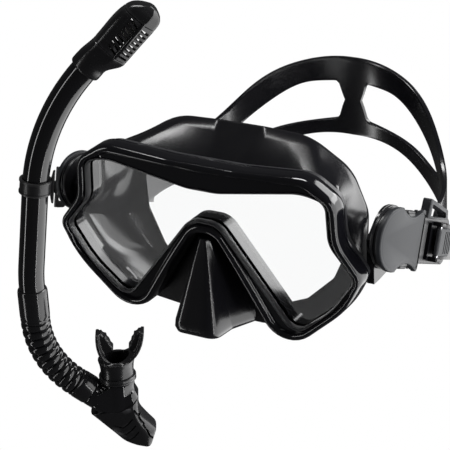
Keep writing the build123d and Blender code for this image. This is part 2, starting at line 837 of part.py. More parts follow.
with BuildPart() as purge_seat:
    with BuildSketch(seam_plane):
        Rectangle(2 * chamber_half - 2 * cover_wall - side_gap, seat_length)
        with PolarLocations(valve_radius / 2, seat_holes):
            Circle(seat_hole_radius, mode=Mode.SUBTRACT)
    extrude(amount=seat_thickness)
save(purge_seat, "purge_seat")

with BuildPart() as purge_valve:
    with BuildSketch(seam_plane.offset(seat_thickness + side_gap / 2)):
        Circle(valve_radius)
    extrude(amount=valve_thickness)
save(purge_valve, "purge_valve")


def purge_outline(inset):
    """Side view of the purge cover, from the seam to its blunt lower end."""
    with BuildSketch(Plane.XY) as side_view:
        with BuildLine():
            FilletPolyline(seam_left, seam_right, *[(s, t) for s, t, r in cover_corners],
                           radius=[0, 0] + [r for s, t, r in cover_corners], close=True)
        make_face()
        if inset:
            offset(amount=-inset, mode=Mode.REPLACE)
    return side_view.sketch_local


with BuildPart() as purge_cover:
    with BuildSketch(snorkel_plane(-chamber_half)):
        add(purge_outline(0))
    extrude(amount=2 * chamber_half)
    with BuildSketch(snorkel_plane(-chamber_half + cover_wall)):
        add(purge_outline(cover_wall))
    extrude(amount=2 * (chamber_half - cover_wall), mode=Mode.SUBTRACT)
    with BuildSketch(seam_plane.offset(-cover_mouth)):
        Rectangle(2 * (chamber_half - cover_wall), seat_length + 2 * cover_mouth)
    extrude(amount=cover_wall + 3 * cover_mouth, mode=Mode.SUBTRACT)
    for number in range(vent_count):
        with BuildSketch(snorkel_plane(-chamber_half + cover_wall)):
            with Locations((vent_s + vent_step_s * number, vent_t + vent_step_t * number)):
                Rectangle(vent_length, vent_height, rotation=vent_turn)
        extrude(amount=2 * (chamber_half - cover_wall), mode=Mode.SUBTRACT)
save(purge_cover, "purge_cover")

# ---------------------------------------------------------------- mouthpiece

mouth_plane = Plane(origin=on_snorkel(barrel_s, barrel_top_t), x_dir=across_dir, z_dir=(0, 0, 1))
mouth_length = mouth_top_t - barrel_top_t
with BuildPart() as mouthpiece:
    with BuildSketch(mouth_plane):
        Circle(barrel_radius)
    extrude(amount=mouth_length)
    with BuildSketch(mouth_plane.offset(mouth_length)):
        Ellipse(guard_length / 2, guard_width / 2)
    extrude(amount=guard_thickness)
    for side in (1, -1):
        with BuildSketch(mouth_plane.offset(mouth_length + guard_thickness)):
            with Locations((side * bite_spread, 0)):
                Rectangle(bite_thickness, bite_width)
        extrude(amount=bite_height)
    with BuildSketch(mouth_plane):
        Circle(barrel_bore)
    extrude(amount=mouth_length + guard_thickness, mode=Mode.SUBTRACT)
save(mouthpiece, "mouthpiece")

mouth_clamp = ring(mouth_plane.offset(clamp_rise), barrel_radius + clamp_wall,
                   barrel_radius + fit_gap, clamp_height)
save(mouth_clamp, "mouth_clamp")
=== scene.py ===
"""Looks of the diving mask and its snorkel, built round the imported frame.

The helpers take millimetres in the frame of the set; pieces come out in metres.
"""

import json
from math import acos, cos, pi, radians, sin, tan

import bpy
import numpy as np
from mathutils import Matrix, Vector

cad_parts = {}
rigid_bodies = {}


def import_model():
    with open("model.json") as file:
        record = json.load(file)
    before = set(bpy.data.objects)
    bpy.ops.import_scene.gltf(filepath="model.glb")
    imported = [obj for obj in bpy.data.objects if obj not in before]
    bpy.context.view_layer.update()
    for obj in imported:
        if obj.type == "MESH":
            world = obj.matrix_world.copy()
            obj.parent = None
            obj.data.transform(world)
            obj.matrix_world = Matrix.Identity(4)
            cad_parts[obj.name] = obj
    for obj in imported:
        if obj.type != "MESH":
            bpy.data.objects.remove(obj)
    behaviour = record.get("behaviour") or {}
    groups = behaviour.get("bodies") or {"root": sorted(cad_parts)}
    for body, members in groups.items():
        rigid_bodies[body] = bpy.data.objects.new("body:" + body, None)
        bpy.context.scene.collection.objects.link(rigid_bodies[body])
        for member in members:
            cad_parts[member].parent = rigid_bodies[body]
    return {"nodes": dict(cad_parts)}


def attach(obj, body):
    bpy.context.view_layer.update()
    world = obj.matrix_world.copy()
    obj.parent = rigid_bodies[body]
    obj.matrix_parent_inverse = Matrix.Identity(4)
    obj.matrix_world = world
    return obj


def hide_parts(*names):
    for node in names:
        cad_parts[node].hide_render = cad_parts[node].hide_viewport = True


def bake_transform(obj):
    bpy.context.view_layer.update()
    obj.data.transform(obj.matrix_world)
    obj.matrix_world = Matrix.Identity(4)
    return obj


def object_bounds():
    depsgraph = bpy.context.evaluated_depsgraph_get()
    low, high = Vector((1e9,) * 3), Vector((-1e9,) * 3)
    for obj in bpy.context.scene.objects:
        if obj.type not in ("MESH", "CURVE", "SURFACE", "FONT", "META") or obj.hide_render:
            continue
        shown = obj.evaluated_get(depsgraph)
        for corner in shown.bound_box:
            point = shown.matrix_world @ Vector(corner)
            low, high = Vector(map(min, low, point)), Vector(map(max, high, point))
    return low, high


for leftover in list(bpy.data.objects):
    bpy.data.objects.remove(leftover)

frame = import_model()
cad_low, cad_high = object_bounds()
nodes = frame["nodes"]
scene = bpy.context.scene
mm = 0.001
scene.view_settings.view_transform = "Standard"

# ---------------------------------------------------------------- camera and studio

view_azimuth, view_elevation, view_roll = radians(32), radians(24.5), radians(-3.4)
view_distance = 0.9
back = Vector((sin(view_azimuth) * cos(view_elevation), -cos(view_azimuth) * cos(view_elevation),
               sin(view_elevation)))
level_right = Vector((cos(view_azimuth), sin(view_azimuth), 0))
level_up = back.cross(level_right)
camera_right = level_right * cos(view_roll) + level_up * sin(view_roll)
camera_up = back.cross(camera_right)
camera_data = bpy.data.cameras.new("camera")
camera_data.lens = 139.5
camera_data.shift_x = 0.0451
camera = bpy.data.objects.new("camera", camera_data)
scene.collection.objects.link(camera)
turned = Matrix((camera_right, camera_up, back)).transposed()
camera.matrix_world = Matrix.Translation(back * view_distance) @ turned.to_4x4()
scene.camera = camera


def softbox(name, place, aim, width, height, watts):
    """Rectangular soft light at a place, facing a point."""
    data = bpy.data.lights.new(name, "AREA")
    data.shape = "RECTANGLE"
    data.size, data.size_y, data.energy = width, height, watts
    light = bpy.data.objects.new(name, data)
    scene.collection.objects.link(light)
    light.location = place
    light.rotation_euler = (Vector(place) - Vector(aim)).to_track_quat("Z", "Y").to_euler()
    return light


softbox("right_wall", camera_right * 1.6 - back * 0.15 + Vector((0, 0, -0.6)), (0, 0, -0.6),
        3.4, 3.8, 100)
softbox("right_edge", camera_right * 0.95 + back * 1.15 + Vector((0, 0, -0.7)), (0, 0, -0.6), 0.07,
        2.4, 7)
softbox("left_strip", back * 0.35 - camera_right * 1.5 + Vector((0, 0, -0.6)), (0, 0, -0.5), 0.14,
        2.4, 7)
softbox("rear_wall", (0.85, 1.5, 0.9), (0.05, 0.04, 0.03), 1.3, 0.8, 16)
softbox("overhead", (-0.35, 0.55, 1.5), (0, 0.02, 0), 0.9, 0.3, 13)

bpy.ops.mesh.primitive_plane_add(size=14, location=(0, 0, cad_low.z - 0.001))
floor = bpy.context.object
floor.name = "studio_floor"
floor.visible_glossy = False
floor.visible_shadow = False

# ---------------------------------------------------------------- finishes


def group_of(name, inputs, outputs):
    """Empty shader node group with float inputs and outputs."""
    group = bpy.data.node_groups.new(name, "ShaderNodeTree")
    number = {"socket_type": "NodeSocketFloat"}
    for label, value in inputs:
        socket = group.interface.new_socket(name=label, in_out="INPUT", **number)
        socket.default_value = value
    for label in outputs:
        group.interface.new_socket(name=label, in_out="OUTPUT", **number)
    return group, group.nodes.new("NodeGroupInput"), group.nodes.new("NodeGroupOutput")


def math_node(tree, kind, a, b=None, c=None):
    """Math node fed by sockets or numbers."""
    node = tree.nodes.new("ShaderNodeMath")
    node.operation = kind
    for place, value in enumerate((a, b, c)):
        if value is None:
            continue
        if isinstance(value, (int, float)):
            node.inputs[place].default_value = value
        else:
            tree.links.new(value, node.inputs[place])
    return node.outputs[0]


world = bpy.data.worlds.new("studio")
scene.world = world
world.use_nodes = True
sky = world.node_tree
sky_light = sky.nodes["Background"]
sky_light.inputs["Color"].default_value = (1, 1, 1, 1)
sky_light.inputs["Strength"].default_value = 0.05
seen = sky.nodes.new("ShaderNodeBackground")
seen.inputs["Color"].default_value = (1, 1, 1, 1)
seen.inputs["Strength"].default_value = 1.0
rays = sky.nodes.new("ShaderNodeLightPath")
pick = sky.nodes.new("ShaderNodeMixShader")
sky.links.new(math_node(sky, "MAXIMUM", rays.outputs["Is Camera Ray"],
                        rays.outputs["Is Transmission Ray"]), pick.inputs[0])
sky.links.new(sky_light.outputs[0], pick.inputs[1])
sky.links.new(seen.outputs[0], pick.inputs[2])
sky.links.new(pick.outputs[0], sky.nodes["World Output"].inputs["Surface"])


def noise_node(tree, coords, scale, detail=3.0):
    """Fine noise on the piece's own place."""
    node = tree.nodes.new("ShaderNodeTexNoise")
    node.inputs["Detail"].default_value = detail
    tree.links.new(coords, node.inputs["Vector"])
    if isinstance(scale, (int, float)):
        node.inputs["Scale"].default_value = scale
    else:
        tree.links.new(scale, node.inputs["Scale"])
    return node.outputs["Fac"]


grain_group, grain_in, grain_out = group_of(
    "moulded_grain", [("Scale", 900.0), ("Roughness", 0.3), ("Spread", 0.06)],
    ["Height", "Roughness"])
place = grain_group.nodes.new("ShaderNodeTexCoord").outputs["Object"]
fine = noise_node(grain_group, place, grain_in.outputs["Scale"])
broad = noise_node(grain_group, place, 38.0, 2.0)
grain_group.links.new(fine, grain_out.inputs["Height"])
spread = math_node(grain_group, "MULTIPLY", math_node(grain_group, "SUBTRACT", broad, 0.5),
                   grain_in.outputs["Spread"])
grain_group.links.new(math_node(grain_group, "ADD", grain_in.outputs["Roughness"], spread),
                      grain_out.inputs["Roughness"])

wear_group, wear_in, wear_out = group_of(
    "edge_wear", [("Start", 0.53), ("Strength", 0.5)], ["Mask"])
shape = wear_group.nodes.new("ShaderNodeNewGeometry").outputs["Pointiness"]
rubbed = math_node(wear_group, "MULTIPLY", math_node(wear_group, "SUBTRACT", shape,
                                                     wear_in.outputs["Start"]), 14.0)
place = wear_group.nodes.new("ShaderNodeTexCoord").outputs["Object"]
broken = math_node(wear_group, "MULTIPLY", rubbed, noise_node(wear_group, place, 260.0))
mask = wear_group.nodes.new("ShaderNodeClamp")
wear_group.links.new(math_node(wear_group, "MULTIPLY", broken, wear_in.outputs["Strength"]),
                     mask.inputs["Value"])
wear_group.links.new(mask.outputs[0], wear_out.inputs["Mask"])


def finish(name, color, edge, roughness, grain=900.0, bump=0.02, spread=0.06, wear=0.5, metal=0.0,
           specular=0.5):
    """Moulded finish: grain, uneven gloss and slightly rubbed edges over one colour."""
    made = bpy.data.materials.new(name)
    made.use_nodes = True
    tree = made.node_tree
    shader = tree.nodes["Principled BSDF"]
    grain_node = tree.nodes.new("ShaderNodeGroup")
    grain_node.node_tree = grain_group
    grain_node.inputs["Scale"].default_value = grain
    grain_node.inputs["Roughness"].default_value = roughness
    grain_node.inputs["Spread"].default_value = spread
    wear_node = tree.nodes.new("ShaderNodeGroup")
    wear_node.node_tree = wear_group
    wear_node.inputs["Strength"].default_value = wear
    blend = tree.nodes.new("ShaderNodeMix")
    blend.data_type = "RGBA"
    blend.inputs["A"].default_value = (*color, 1)
    blend.inputs["B"].default_value = (*edge, 1)
    tree.links.new(wear_node.outputs["Mask"], blend.inputs["Factor"])
    tree.links.new(blend.outputs["Result"], shader.inputs["Base Color"])
    tree.links.new(grain_node.outputs["Roughness"], shader.inputs["Roughness"])
    relief = tree.nodes.new("ShaderNodeBump")
    relief.inputs["Strength"].default_value = bump
    relief.inputs["Distance"].default_value = 0.0002
    tree.links.new(grain_node.outputs["Height"], relief.inputs["Height"])
    tree.links.new(relief.outputs["Normal"], shader.inputs["Normal"])
    shader.inputs["Metallic"].default_value = metal
    shader.inputs["Specular IOR Level"].default_value = specular
    return made


frame_gloss = finish("frame_gloss", (0.006, 0.006, 0.008), (0.03, 0.03, 0.034), 0.1, 500, 0.03,
                     0.05, 0.3, specular=0.65)
frame_satin = finish("frame_satin", (0.02, 0.02, 0.023), (0.07, 0.07, 0.075), 0.38, 1500, 0.12,
                     0.08, 0.5)
skirt_silicone = finish("skirt_silicone", (0.007, 0.007, 0.009), (0.03, 0.03, 0.034), 0.17, 700,
                        0.008, 0.07, 0.3, specular=0.6)
strap_silicone = finish("strap_silicone", (0.007, 0.007, 0.009), (0.06, 0.06, 0.065), 0.17, 700,
                        0.03, 0.07, 0.6, specular=0.6)
buckle_grey = finish("buckle_grey", (0.024, 0.026, 0.03), (0.16, 0.16, 0.17), 0.42, 1800, 0.15,
                     0.08, 0.8, specular=0.22)
buckle_black = finish("buckle_black", (0.009, 0.009, 0.011), (0.08, 0.08, 0.085), 0.3, 1500, 0.1,
                      0.08, 0.7, specular=0.35)
button_rubber = finish("button_rubber", (0.014, 0.014, 0.016), (0.05, 0.05, 0.05), 0.4, 1500, 0.1,
                       0.08, 0.4)
pin_steel = finish("pin_steel", (0.55, 0.55, 0.57), (0.75, 0.75, 0.76), 0.28, 2400, 0.04, 0.1, 0.3,
                   metal=1.0)
tube_gloss = finish("tube_gloss", (0.006, 0.006, 0.007), (0.03, 0.03, 0.032), 0.09, 420, 0.03, 0.04,
                    0.2, specular=0.65)
hose_silicone = finish("hose_silicone", (0.008, 0.008, 0.009), (0.05, 0.05, 0.052), 0.16, 700, 0.04,
                       0.08, 0.5, specular=0.6)
dry_top_black = finish("dry_top_black", (0.009, 0.009, 0.01), (0.09, 0.09, 0.095), 0.24, 1300, 0.06,
                       0.08, 0.7)
float_pale = finish("float_pale", (0.4, 0.4, 0.38), (0.5, 0.5, 0.48), 0.6, 1500, 0.3, 0.1, 0.2)
valve_silicone = finish("valve_silicone", (0.25, 0.25, 0.26), (0.3, 0.3, 0.3), 0.35, 900, 0.05)
keeper_black = finish("keeper_black", (0.012, 0.012, 0.013), (0.1, 0.1, 0.1), 0.3, 1500, 0.1, 0.08,
                      0.7)
mouth_silicone = finish("mouth_silicone", (0.008, 0.008, 0.009), (0.05, 0.05, 0.052), 0.26, 900,
                        0.06, 0.08, 0.5)

lens_glass = bpy.data.materials.new("tempered_glass")
lens_glass.use_nodes = True
glass_shader = lens_glass.node_tree.nodes["Principled BSDF"]
glass_shader.inputs["Base Color"].default_value = (0.985, 0.99, 0.99, 1)
glass_shader.inputs["Transmission Weight"].default_value = 1.0
glass_shader.inputs["IOR"].default_value = 1.45
haze = lens_glass.node_tree.nodes.new("ShaderNodeGroup")
haze.node_tree = grain_group
haze.inputs["Roughness"].default_value = 0.0
haze.inputs["Spread"].default_value = 0.02
lens_glass.node_tree.links.new(haze.outputs["Roughness"], glass_shader.inputs["Roughness"])

floor_pale = bpy.data.materials.new("floor_pale")
floor_pale.use_nodes = True
floor_tree = floor_pale.node_tree
floor_shader = floor_tree.nodes["Principled BSDF"]
floor_shader.inputs["Base Color"].default_value = (0.1, 0.1, 0.1, 1)
floor_shader.inputs["Roughness"].default_value = 0.9
floor_shader.inputs["Specular IOR Level"].default_value = 0.0
floor_seen = floor_tree.nodes.new("ShaderNodeEmission")
floor_seen.inputs["Strength"].default_value = 1.0
floor_rays = floor_tree.nodes.new("ShaderNodeLightPath")
floor_pick = floor_tree.nodes.new("ShaderNodeMixShader")
through = math_node(floor_tree, "MAXIMUM", floor_rays.outputs["Is Camera Ray"],
                    floor_rays.outputs["Is Transmission Ray"])
floor_tree.links.new(through, floor_pick.inputs[0])
floor_tree.links.new(floor_shader.outputs[0], floor_pick.inputs[1])
floor_tree.links.new(floor_seen.outputs[0], floor_pick.inputs[2])
floor_tree.links.new(floor_pick.outputs[0], floor_tree.nodes["Material Output"].inputs["Surface"])
floor.data.materials.append(floor_pale)

# ---------------------------------------------------------------- making shapes


def rounded(corners, arc=9, run=5, closed=True):
    """Points of a polygon whose corners (x, y, radius) are rounded; same count for same corners."""
    spots = [np.array(c[:2], float) for c in corners]
    count, ends = len(spots), []
    for i, c in enumerate(corners):
        if not closed and i in (0, count - 1):
            ends.append((spots[i], spots[i], None, 0))
            continue
        before = spots[i - 1] - spots[i]
        after = spots[(i + 1) % count] - spots[i]
        before, after = before / np.linalg.norm(before), after / np.linalg.norm(after)
        opening_angle = acos(float(np.clip(before @ after, -1, 1)))
        reach = c[2] / tan(opening_angle / 2)
        middle = before + after
        centre = spots[i] + middle / np.linalg.norm(middle) * c[2] / sin(opening_angle / 2)
        ends.append((spots[i] + before * reach, spots[i] + after * reach, centre, c[2]))
    points = []
    for i in range(count):
        start, stop, centre, radius = ends[i]
        if centre is None:
            points.append(start)
        else:
            a, b = start - centre, stop - centre
            turn = acos(float(np.clip(a @ b / max(radius, 1e-9) ** 2, -1, 1)))
            for k in range(arc + 1):
                q = k / arc
                if turn < 1e-6:
                    points.append(start * (1 - q) + stop * q)
                else:
                    swung = a * sin((1 - q) * turn) + b * sin(q * turn)
                    points.append(centre + swung / sin(turn))
        if closed or i < count - 1:
            onward = ends[(i + 1) % count][0]
            points += [stop + (onward - stop) * k / run for k in range(1, run)]
    return np.array(points)


def mirrored(corners):
    """Corners of the +X side followed by their mirror images."""
    return list(corners) + [(-x, z, r) for x, z, r in reversed(corners)]


def grown(path, amount):
    """Closed path moved outwards by an amount, or by one amount a point."""
    along = np.roll(path, -1, 0) - np.roll(path, 1, 0)
    along /= np.linalg.norm(along, axis=1)[:, None]
    area = (path[:, 0] * np.roll(path[:, 1], -1) - np.roll(path[:, 0], -1) * path[:, 1]).sum()
    outward = np.c_[along[:, 1], -along[:, 0]] * (1 if area > 0 else -1)
    return path + outward * np.reshape(amount, (-1, 1))


def depth(path, y):
    """Front-view path (x, z) placed at a depth y."""
    return np.c_[path[:, 0], np.full(len(path), y) if np.isscalar(y) else y, path[:, 1]]


def tidy(piece, name, finishes, angle=35, outwards=True):
    """Merge, turn faces outwards, smooth, name and paint a new piece."""
    bpy.ops.object.select_all(action="DESELECT")
    bpy.context.view_layer.objects.active = piece
    piece.select_set(True)
    bpy.ops.object.mode_set(mode="EDIT")
    bpy.ops.mesh.select_all(action="SELECT")
    bpy.ops.mesh.remove_doubles(threshold=2e-6)
    bpy.ops.mesh.dissolve_degenerate(threshold=1e-7)
    bpy.ops.mesh.select_all(action="SELECT")
    if outwards:
        bpy.ops.mesh.normals_make_consistent(inside=False)
    bpy.ops.object.mode_set(mode="OBJECT")
    bpy.ops.object.shade_smooth_by_angle(angle=radians(angle))
    piece.name = name
    for m in finishes if isinstance(finishes, (list, tuple)) else [finishes]:
        piece.data.materials.append(m)
    return piece


def skin(name, rows, finishes, around=True, loop=False, strips=None, angle=35, outwards=True):
    """Surface whose grid rows are laid on rings of points.

    around closes each ring, loop joins the last ring to the first, strips gives a finish number
    for each strip between two rings.
    """
    rows = np.array(rows, float)
    if loop:
        rows = np.concatenate([rows, rows[:1]])
    if around:
        rows = np.concatenate([rows, rows[:, :1]], axis=1)
    high, wide = rows.shape[:2]
    bpy.ops.object.select_all(action="DESELECT")
    bpy.ops.mesh.primitive_grid_add(x_subdivisions=wide - 1, y_subdivisions=high - 1, size=1)
    piece = bpy.context.object
    piece.data.vertices.foreach_set("co", (rows * mm).reshape(-1).astype(np.float32))
    if strips is not None:
        numbers = np.repeat(strips, wide - 1).astype(np.int32)
        piece.data.polygons.foreach_set("material_index", numbers)
    piece.data.update()
    return tidy(piece, name, finishes, angle, outwards)


def point_row(row):
    """Ring shrunk to its middle, to close an end."""
    return np.repeat(row.mean(0)[None], len(row), 0)


def plate(name, path, lift, steps, finishes=(), angle=35):
    """Flat shape with shaped edges: steps are (inset, height) from its bottom face to its top."""
    rings = [lift(grown(path, -inset), height) for inset, height in steps]
    return plate_from_rings(name, rings, finishes, angle)


def cutting_block(path, lift, low, high):
    """Straight-sided tool on a flat path, from one height to another."""
    return plate("cutting_block", path, lift, [(0, low), (0, high)])


def tube_rings(centres, radii, sides=48, first=None):
    """Rings square to a line of centres; radii may be one number or one a centre."""
    centres = np.array(centres, float)
    radii = np.broadcast_to(radii, len(centres))
    along = np.gradient(centres, axis=0)
    along /= np.linalg.norm(along, axis=1)[:, None]
    side = np.array(first if first is not None else (0.53, -0.848, 0), float)
    rings = []
    for c, r, d in zip(centres, radii, along):
        side = side - d * (side @ d)
        side /= np.linalg.norm(side)
        other = np.cross(d, side)
        angles = np.arange(sides) * 2 * pi / sides
        rings.append(c + r * (np.cos(angles)[:, None] * side + np.sin(angles)[:, None] * other))
    return rings


def turned_piece(name, origin, axis, profile, finishes, sides=48, angle=35, loop=False):
    """Turned piece: profile is (radius, distance along the axis) from one end to the other."""
    origin, axis = np.array(origin, float), np.array(axis, float)
    axis = axis / np.linalg.norm(axis)
    side = np.cross(axis, (0, 0, 1) if abs(axis[2]) < 0.9 else (0, 1, 0))
    side /= np.linalg.norm(side)
    other = np.cross(axis, side)
    angles = np.arange(sides) * 2 * pi / sides
    ring = np.cos(angles)[:, None] * side + np.sin(angles)[:, None] * other
    rows = [origin + axis * h + ring * r for r, h in profile]
    return skin(name, rows, finishes, loop=loop, angle=angle)


def cut(piece, *tools, operation="DIFFERENCE", angle=None):
    """Boolean with finished tools, which are then removed; angle smooths the result again."""
    bpy.ops.object.select_all(action="DESELECT")
    bpy.context.view_layer.objects.active = piece
    piece.select_set(True)
    for tool in tools:
        modifier = piece.modifiers.new("cut", "BOOLEAN")
        modifier.operation = operation
        modifier.solver = "EXACT"
        modifier.object = tool
        bpy.ops.object.modifier_apply(modifier=modifier.name)
        bpy.data.objects.remove(tool)
    if angle is not None:
        bpy.ops.object.shade_smooth_by_angle(angle=radians(angle))
    return piece


def box_tool(corners8):
    """Closed box on eight points: the bottom four in turn, then the top four."""
    rows = [corners8[:4], corners8[4:]]
    return plate_from_rings("cutting_block", rows)


def plate_from_rings(name, rings, finishes=(), angle=35):
    """Closed solid between rings of points, its two ends filled."""
    rows = np.array([np.concatenate([r, r[:1]]) for r in np.array(rings, float)])
    bpy.ops.object.select_all(action="DESELECT")
    high, wide = rows.shape[:2]
    bpy.ops.mesh.primitive_grid_add(x_subdivisions=wide - 1, y_subdivisions=high - 1, size=1)
    piece = bpy.context.object
    piece.data.vertices.foreach_set("co", (rows * mm).reshape(-1).astype(np.float32))
    piece.data.update()
    bpy.ops.object.mode_set(mode="EDIT")
    bpy.ops.mesh.select_all(action="SELECT")
    bpy.ops.mesh.remove_doubles(threshold=2e-6)
    bpy.ops.mesh.fill_holes(sides=0)
    bpy.ops.object.mode_set(mode="OBJECT")
    return tidy(piece, name, finishes, angle)


def soften(piece, width, segments=2, angle=40):
    """Round a piece's sharp edges."""
    bpy.ops.object.select_all(action="DESELECT")
    bpy.context.view_layer.objects.active = piece
    piece.select_set(True)
    modifier = piece.modifiers.new("soften", "BEVEL")
    modifier.width, modifier.segments = width * mm, segments
    modifier.limit_method, modifier.angle_limit = "ANGLE", radians(angle)
    bpy.ops.object.modifier_apply(modifier=modifier.name)
    bpy.ops.object.shade_smooth_by_angle(angle=radians(35))
    return piece


def twin(piece, name):
    """Mirror image of a left piece, for the right side."""
    copy = piece.copy()
    copy.data = piece.data.copy()
    scene.collection.objects.link(copy)
    copy.name = name
    copy.data.transform(Matrix.Diagonal((-1, 1, 1, 1)))
    bpy.ops.object.select_all(action="DESELECT")
    bpy.context.view_layer.objects.active = copy
    copy.select_set(True)
    bpy.ops.object.mode_set(mode="EDIT")
    bpy.ops.mesh.select_all(action="SELECT")
    bpy.ops.mesh.flip_normals()
    bpy.ops.object.mode_set(mode="OBJECT")
    return copy


def place_pair(piece, name, body, replaced=None, each_body=False):
    """Left piece and its twin, each riding on its body and standing for its node."""
    piece.name = f"{name}_left"
    right = twin(piece, f"{name}_right")
    for made, side in ((piece, "left"), (right, "right")):
        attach(made, f"{body}_{side}" if each_body else body)
        if replaced:
            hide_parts(f"{replaced}_{side}")
    return piece, right


def place_one(piece, body, slot, *replaced):
    """Piece riding on a body and standing for its nodes."""
    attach(piece, body)
    if replaced:
        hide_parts(*replaced)
    return piece


# ---------------------------------------------------------------- front frame and skirt

opening = rounded(mirrored([(9, 19.4, 45), (57, 27.6, 30), (70.5, 25.0, 6), (71.6, 3, 14),
                            (86, -14.5, 5), (73.2, -33.5, 60), (51, -51.5, 8), (8.6, 2.5, 12)]))
outer = rounded(mirrored([(20, 34.3, 60), (60, 37, 20), (77, 25.5, 12), (78.3, 3.5, 18),
                          (91.2, -13, 7), (81.5, -32, 60), (44.5, -64.8, 17), (6.5, -4.5, 10)]))
skirt_front = rounded(mirrored([(9, 21.4, 40), (56, 29.5, 25), (72.6, 26.8, 6), (73.8, 3, 12),
                                (88.2, -14.5, 5), (75.4, -34.5, 50), (52, -54.5, 9),
                                (20, -58, 20)]))
skirt_face = rounded(mirrored([(12, 41, 40), (40, 40, 36), (64, 25, 24), (73, 3, 20), (72, -20, 20),
                               (61, -45, 20), (42, -63, 16), (14, -75, 12)]))


def frame_rings():
    """Section of the front frame from the lens edge round the bead to the recess for the glass."""
    width = np.linalg.norm(outer - opening, axis=1)
    bead = np.minimum(5.2, 0.72 * width)

    def at(from_outer, y):
        share = np.clip(1 - from_outer / width, 0, 1)[:, None]
        return depth(opening + (outer - opening) * share, y)

    rings = [depth(opening, 2.0), depth(opening, -1.2), at(width - 0.35, -1.75),
             at(width - 1.1, -1.8), at(width - 1.5, -1.1), at(bead + 0.25, -0.9)]
    rings += [at(bead * share, y) for share, y in (
        (1, -1.2), (0.93, -2.1), (0.8, -3.0), (0.62, -3.42), (0.42, -3.4), (0.24, -2.9),
        (0.1, -1.9), (0.02, -0.6))]
    rings += [depth(outer, y) for y in (0.8, 4.0, 7.4)] + [depth(grown(outer, -0.5), 8.0)]
    rings += [depth(grown(opening, 2.5), 8.0), depth(grown(opening, 2.5), 2.0)]
    return rings


front_rows = frame_rings()
front_strips = [1, 1, 1, 0] + [0] * (len(front_rows) - 4)
front = skin("front_frame_shell", front_rows, [frame_gloss, frame_satin], loop=True,
             strips=front_strips, angle=50)
place_one(front, "mask", "frame_gloss", "front_frame")

skirt_rows = [
    depth(opening, 6.0), depth(opening, 10.0), depth(opening, 14.5),
    depth(grown(skirt_front, -3.0), 15.2), depth(grown(skirt_front, -2.4), 18.0),
    depth(skirt_front * 0.6 + grown(skirt_face, -2.2) * 0.4, 27.0),
    depth(skirt_front * 0.25 + grown(skirt_face, -2.2) * 0.75, 36.0),
    depth(grown(skirt_face, -2.4), 41.5), depth(grown(skirt_face, -4.0), 43.4),
    depth(grown(skirt_face, -7.5), 43.9), depth(grown(skirt_face, -10.0), 43.2),
    depth(grown(skirt_face, -10.4), 43.8), depth(grown(skirt_face, -8.0), 45.0),
    depth(grown(skirt_face, -4.0), 45.9), depth(grown(skirt_face, -1.6), 45.6),
    depth(grown(skirt_face, -0.3), 44.0), depth(skirt_face, 41.5),
    depth(skirt_front * 0.22 + skirt_face * 0.78, 35.5),
    depth(skirt_front * 0.5 + grown(skirt_face, 0.3) * 0.5, 27.5),
    depth(skirt_front * 0.8 + grown(skirt_face, 0.2) * 0.2, 19.0),
    depth(skirt_front, 13.4), depth(grown(skirt_front, -0.8), 12.0),
    depth(grown(opening, 1.8), 12.0), depth(grown(opening, 1.8), 8.0),
    depth(grown(opening, 2.35), 8.0), depth(grown(opening, 2.35), 6.0)]
skirt = skin("skirt_shell", skirt_rows, skirt_silicone, loop=True, angle=50)


def nose_rings(inset, levels):
    """Sections of the nose pocket from the arch down to its rounded foot."""
    rings = []
    for z, shrink in levels:
        share = (-7.0 - z) / 51.0
        front = 1.6 + 12.2 * share
        front_y = -3.0 - 18.0 * share + inset
        cheek, cheek_y = 4.0 + 12.0 * share, -1.0 - 2.0 * share
        rear = 5.5 + 18.5 * share
        corners = [(-front, front_y, 0.8 + 5.6 * share), (front, front_y, 0.8 + 5.6 * share),
                   (cheek, cheek_y, 3), (rear, 13.4, 0.5), (rear, 14.2, 0.3), (-rear, 14.2, 0.3),
                   (-rear, 13.4, 0.5), (-cheek, cheek_y, 3)]
        path = rounded(corners, arc=6, run=4)
        path = grown(path, -inset) if inset else path
        path[:, 1] = np.where(path[:, 1] > 10, path[:, 1] + inset, path[:, 1])
        path = (path - (0, 14.2)) * (1 - shrink / 14) + (0, 14.2)
        rings.append(np.c_[path[:, 0], path[:, 1], np.full(len(path), z)])
    return rings


pocket = plate_from_rings("nose_pocket", nose_rings(0, [
    (-7.0, 0.4), (-8.0, 0), (-20, 0), (-32, 0), (-44, 0), (-50, 0), (-53.5, 0.4),
    (-56.4, 1.4), (-58.4, 3.0), (-59.4, 4.8), (-59.8, 6.6)]), skirt_silicone)
hollow = plate_from_rings("nose_hollow", [r + np.array([0, 2.0, 0]) for r in nose_rings(2.2, [
    (-24, 0), (-32, 0), (-44, 0), (-50, 0), (-54, 1.0), (-55.5, 2.5)])], skirt_silicone)
cut(skirt, pocket, operation="UNION")
cut(skirt, hollow, angle=40)
place_one(skirt, "mask", "silicone", "skirt")

# ---------------------------------------------------------------- strap

half_width, half_depth, band_start = 89.3, 90.0, 84.0
lean = radians(-24)
pivot = np.array((0, 31.0, -3.5))
buckle_back = np.array((0, cos(lean), sin(lean)))
buckle_up = np.array((0, -sin(lean), cos(lean)))
roller_u, roller_x, loop_radius = 55.0, 93.95, 4.5


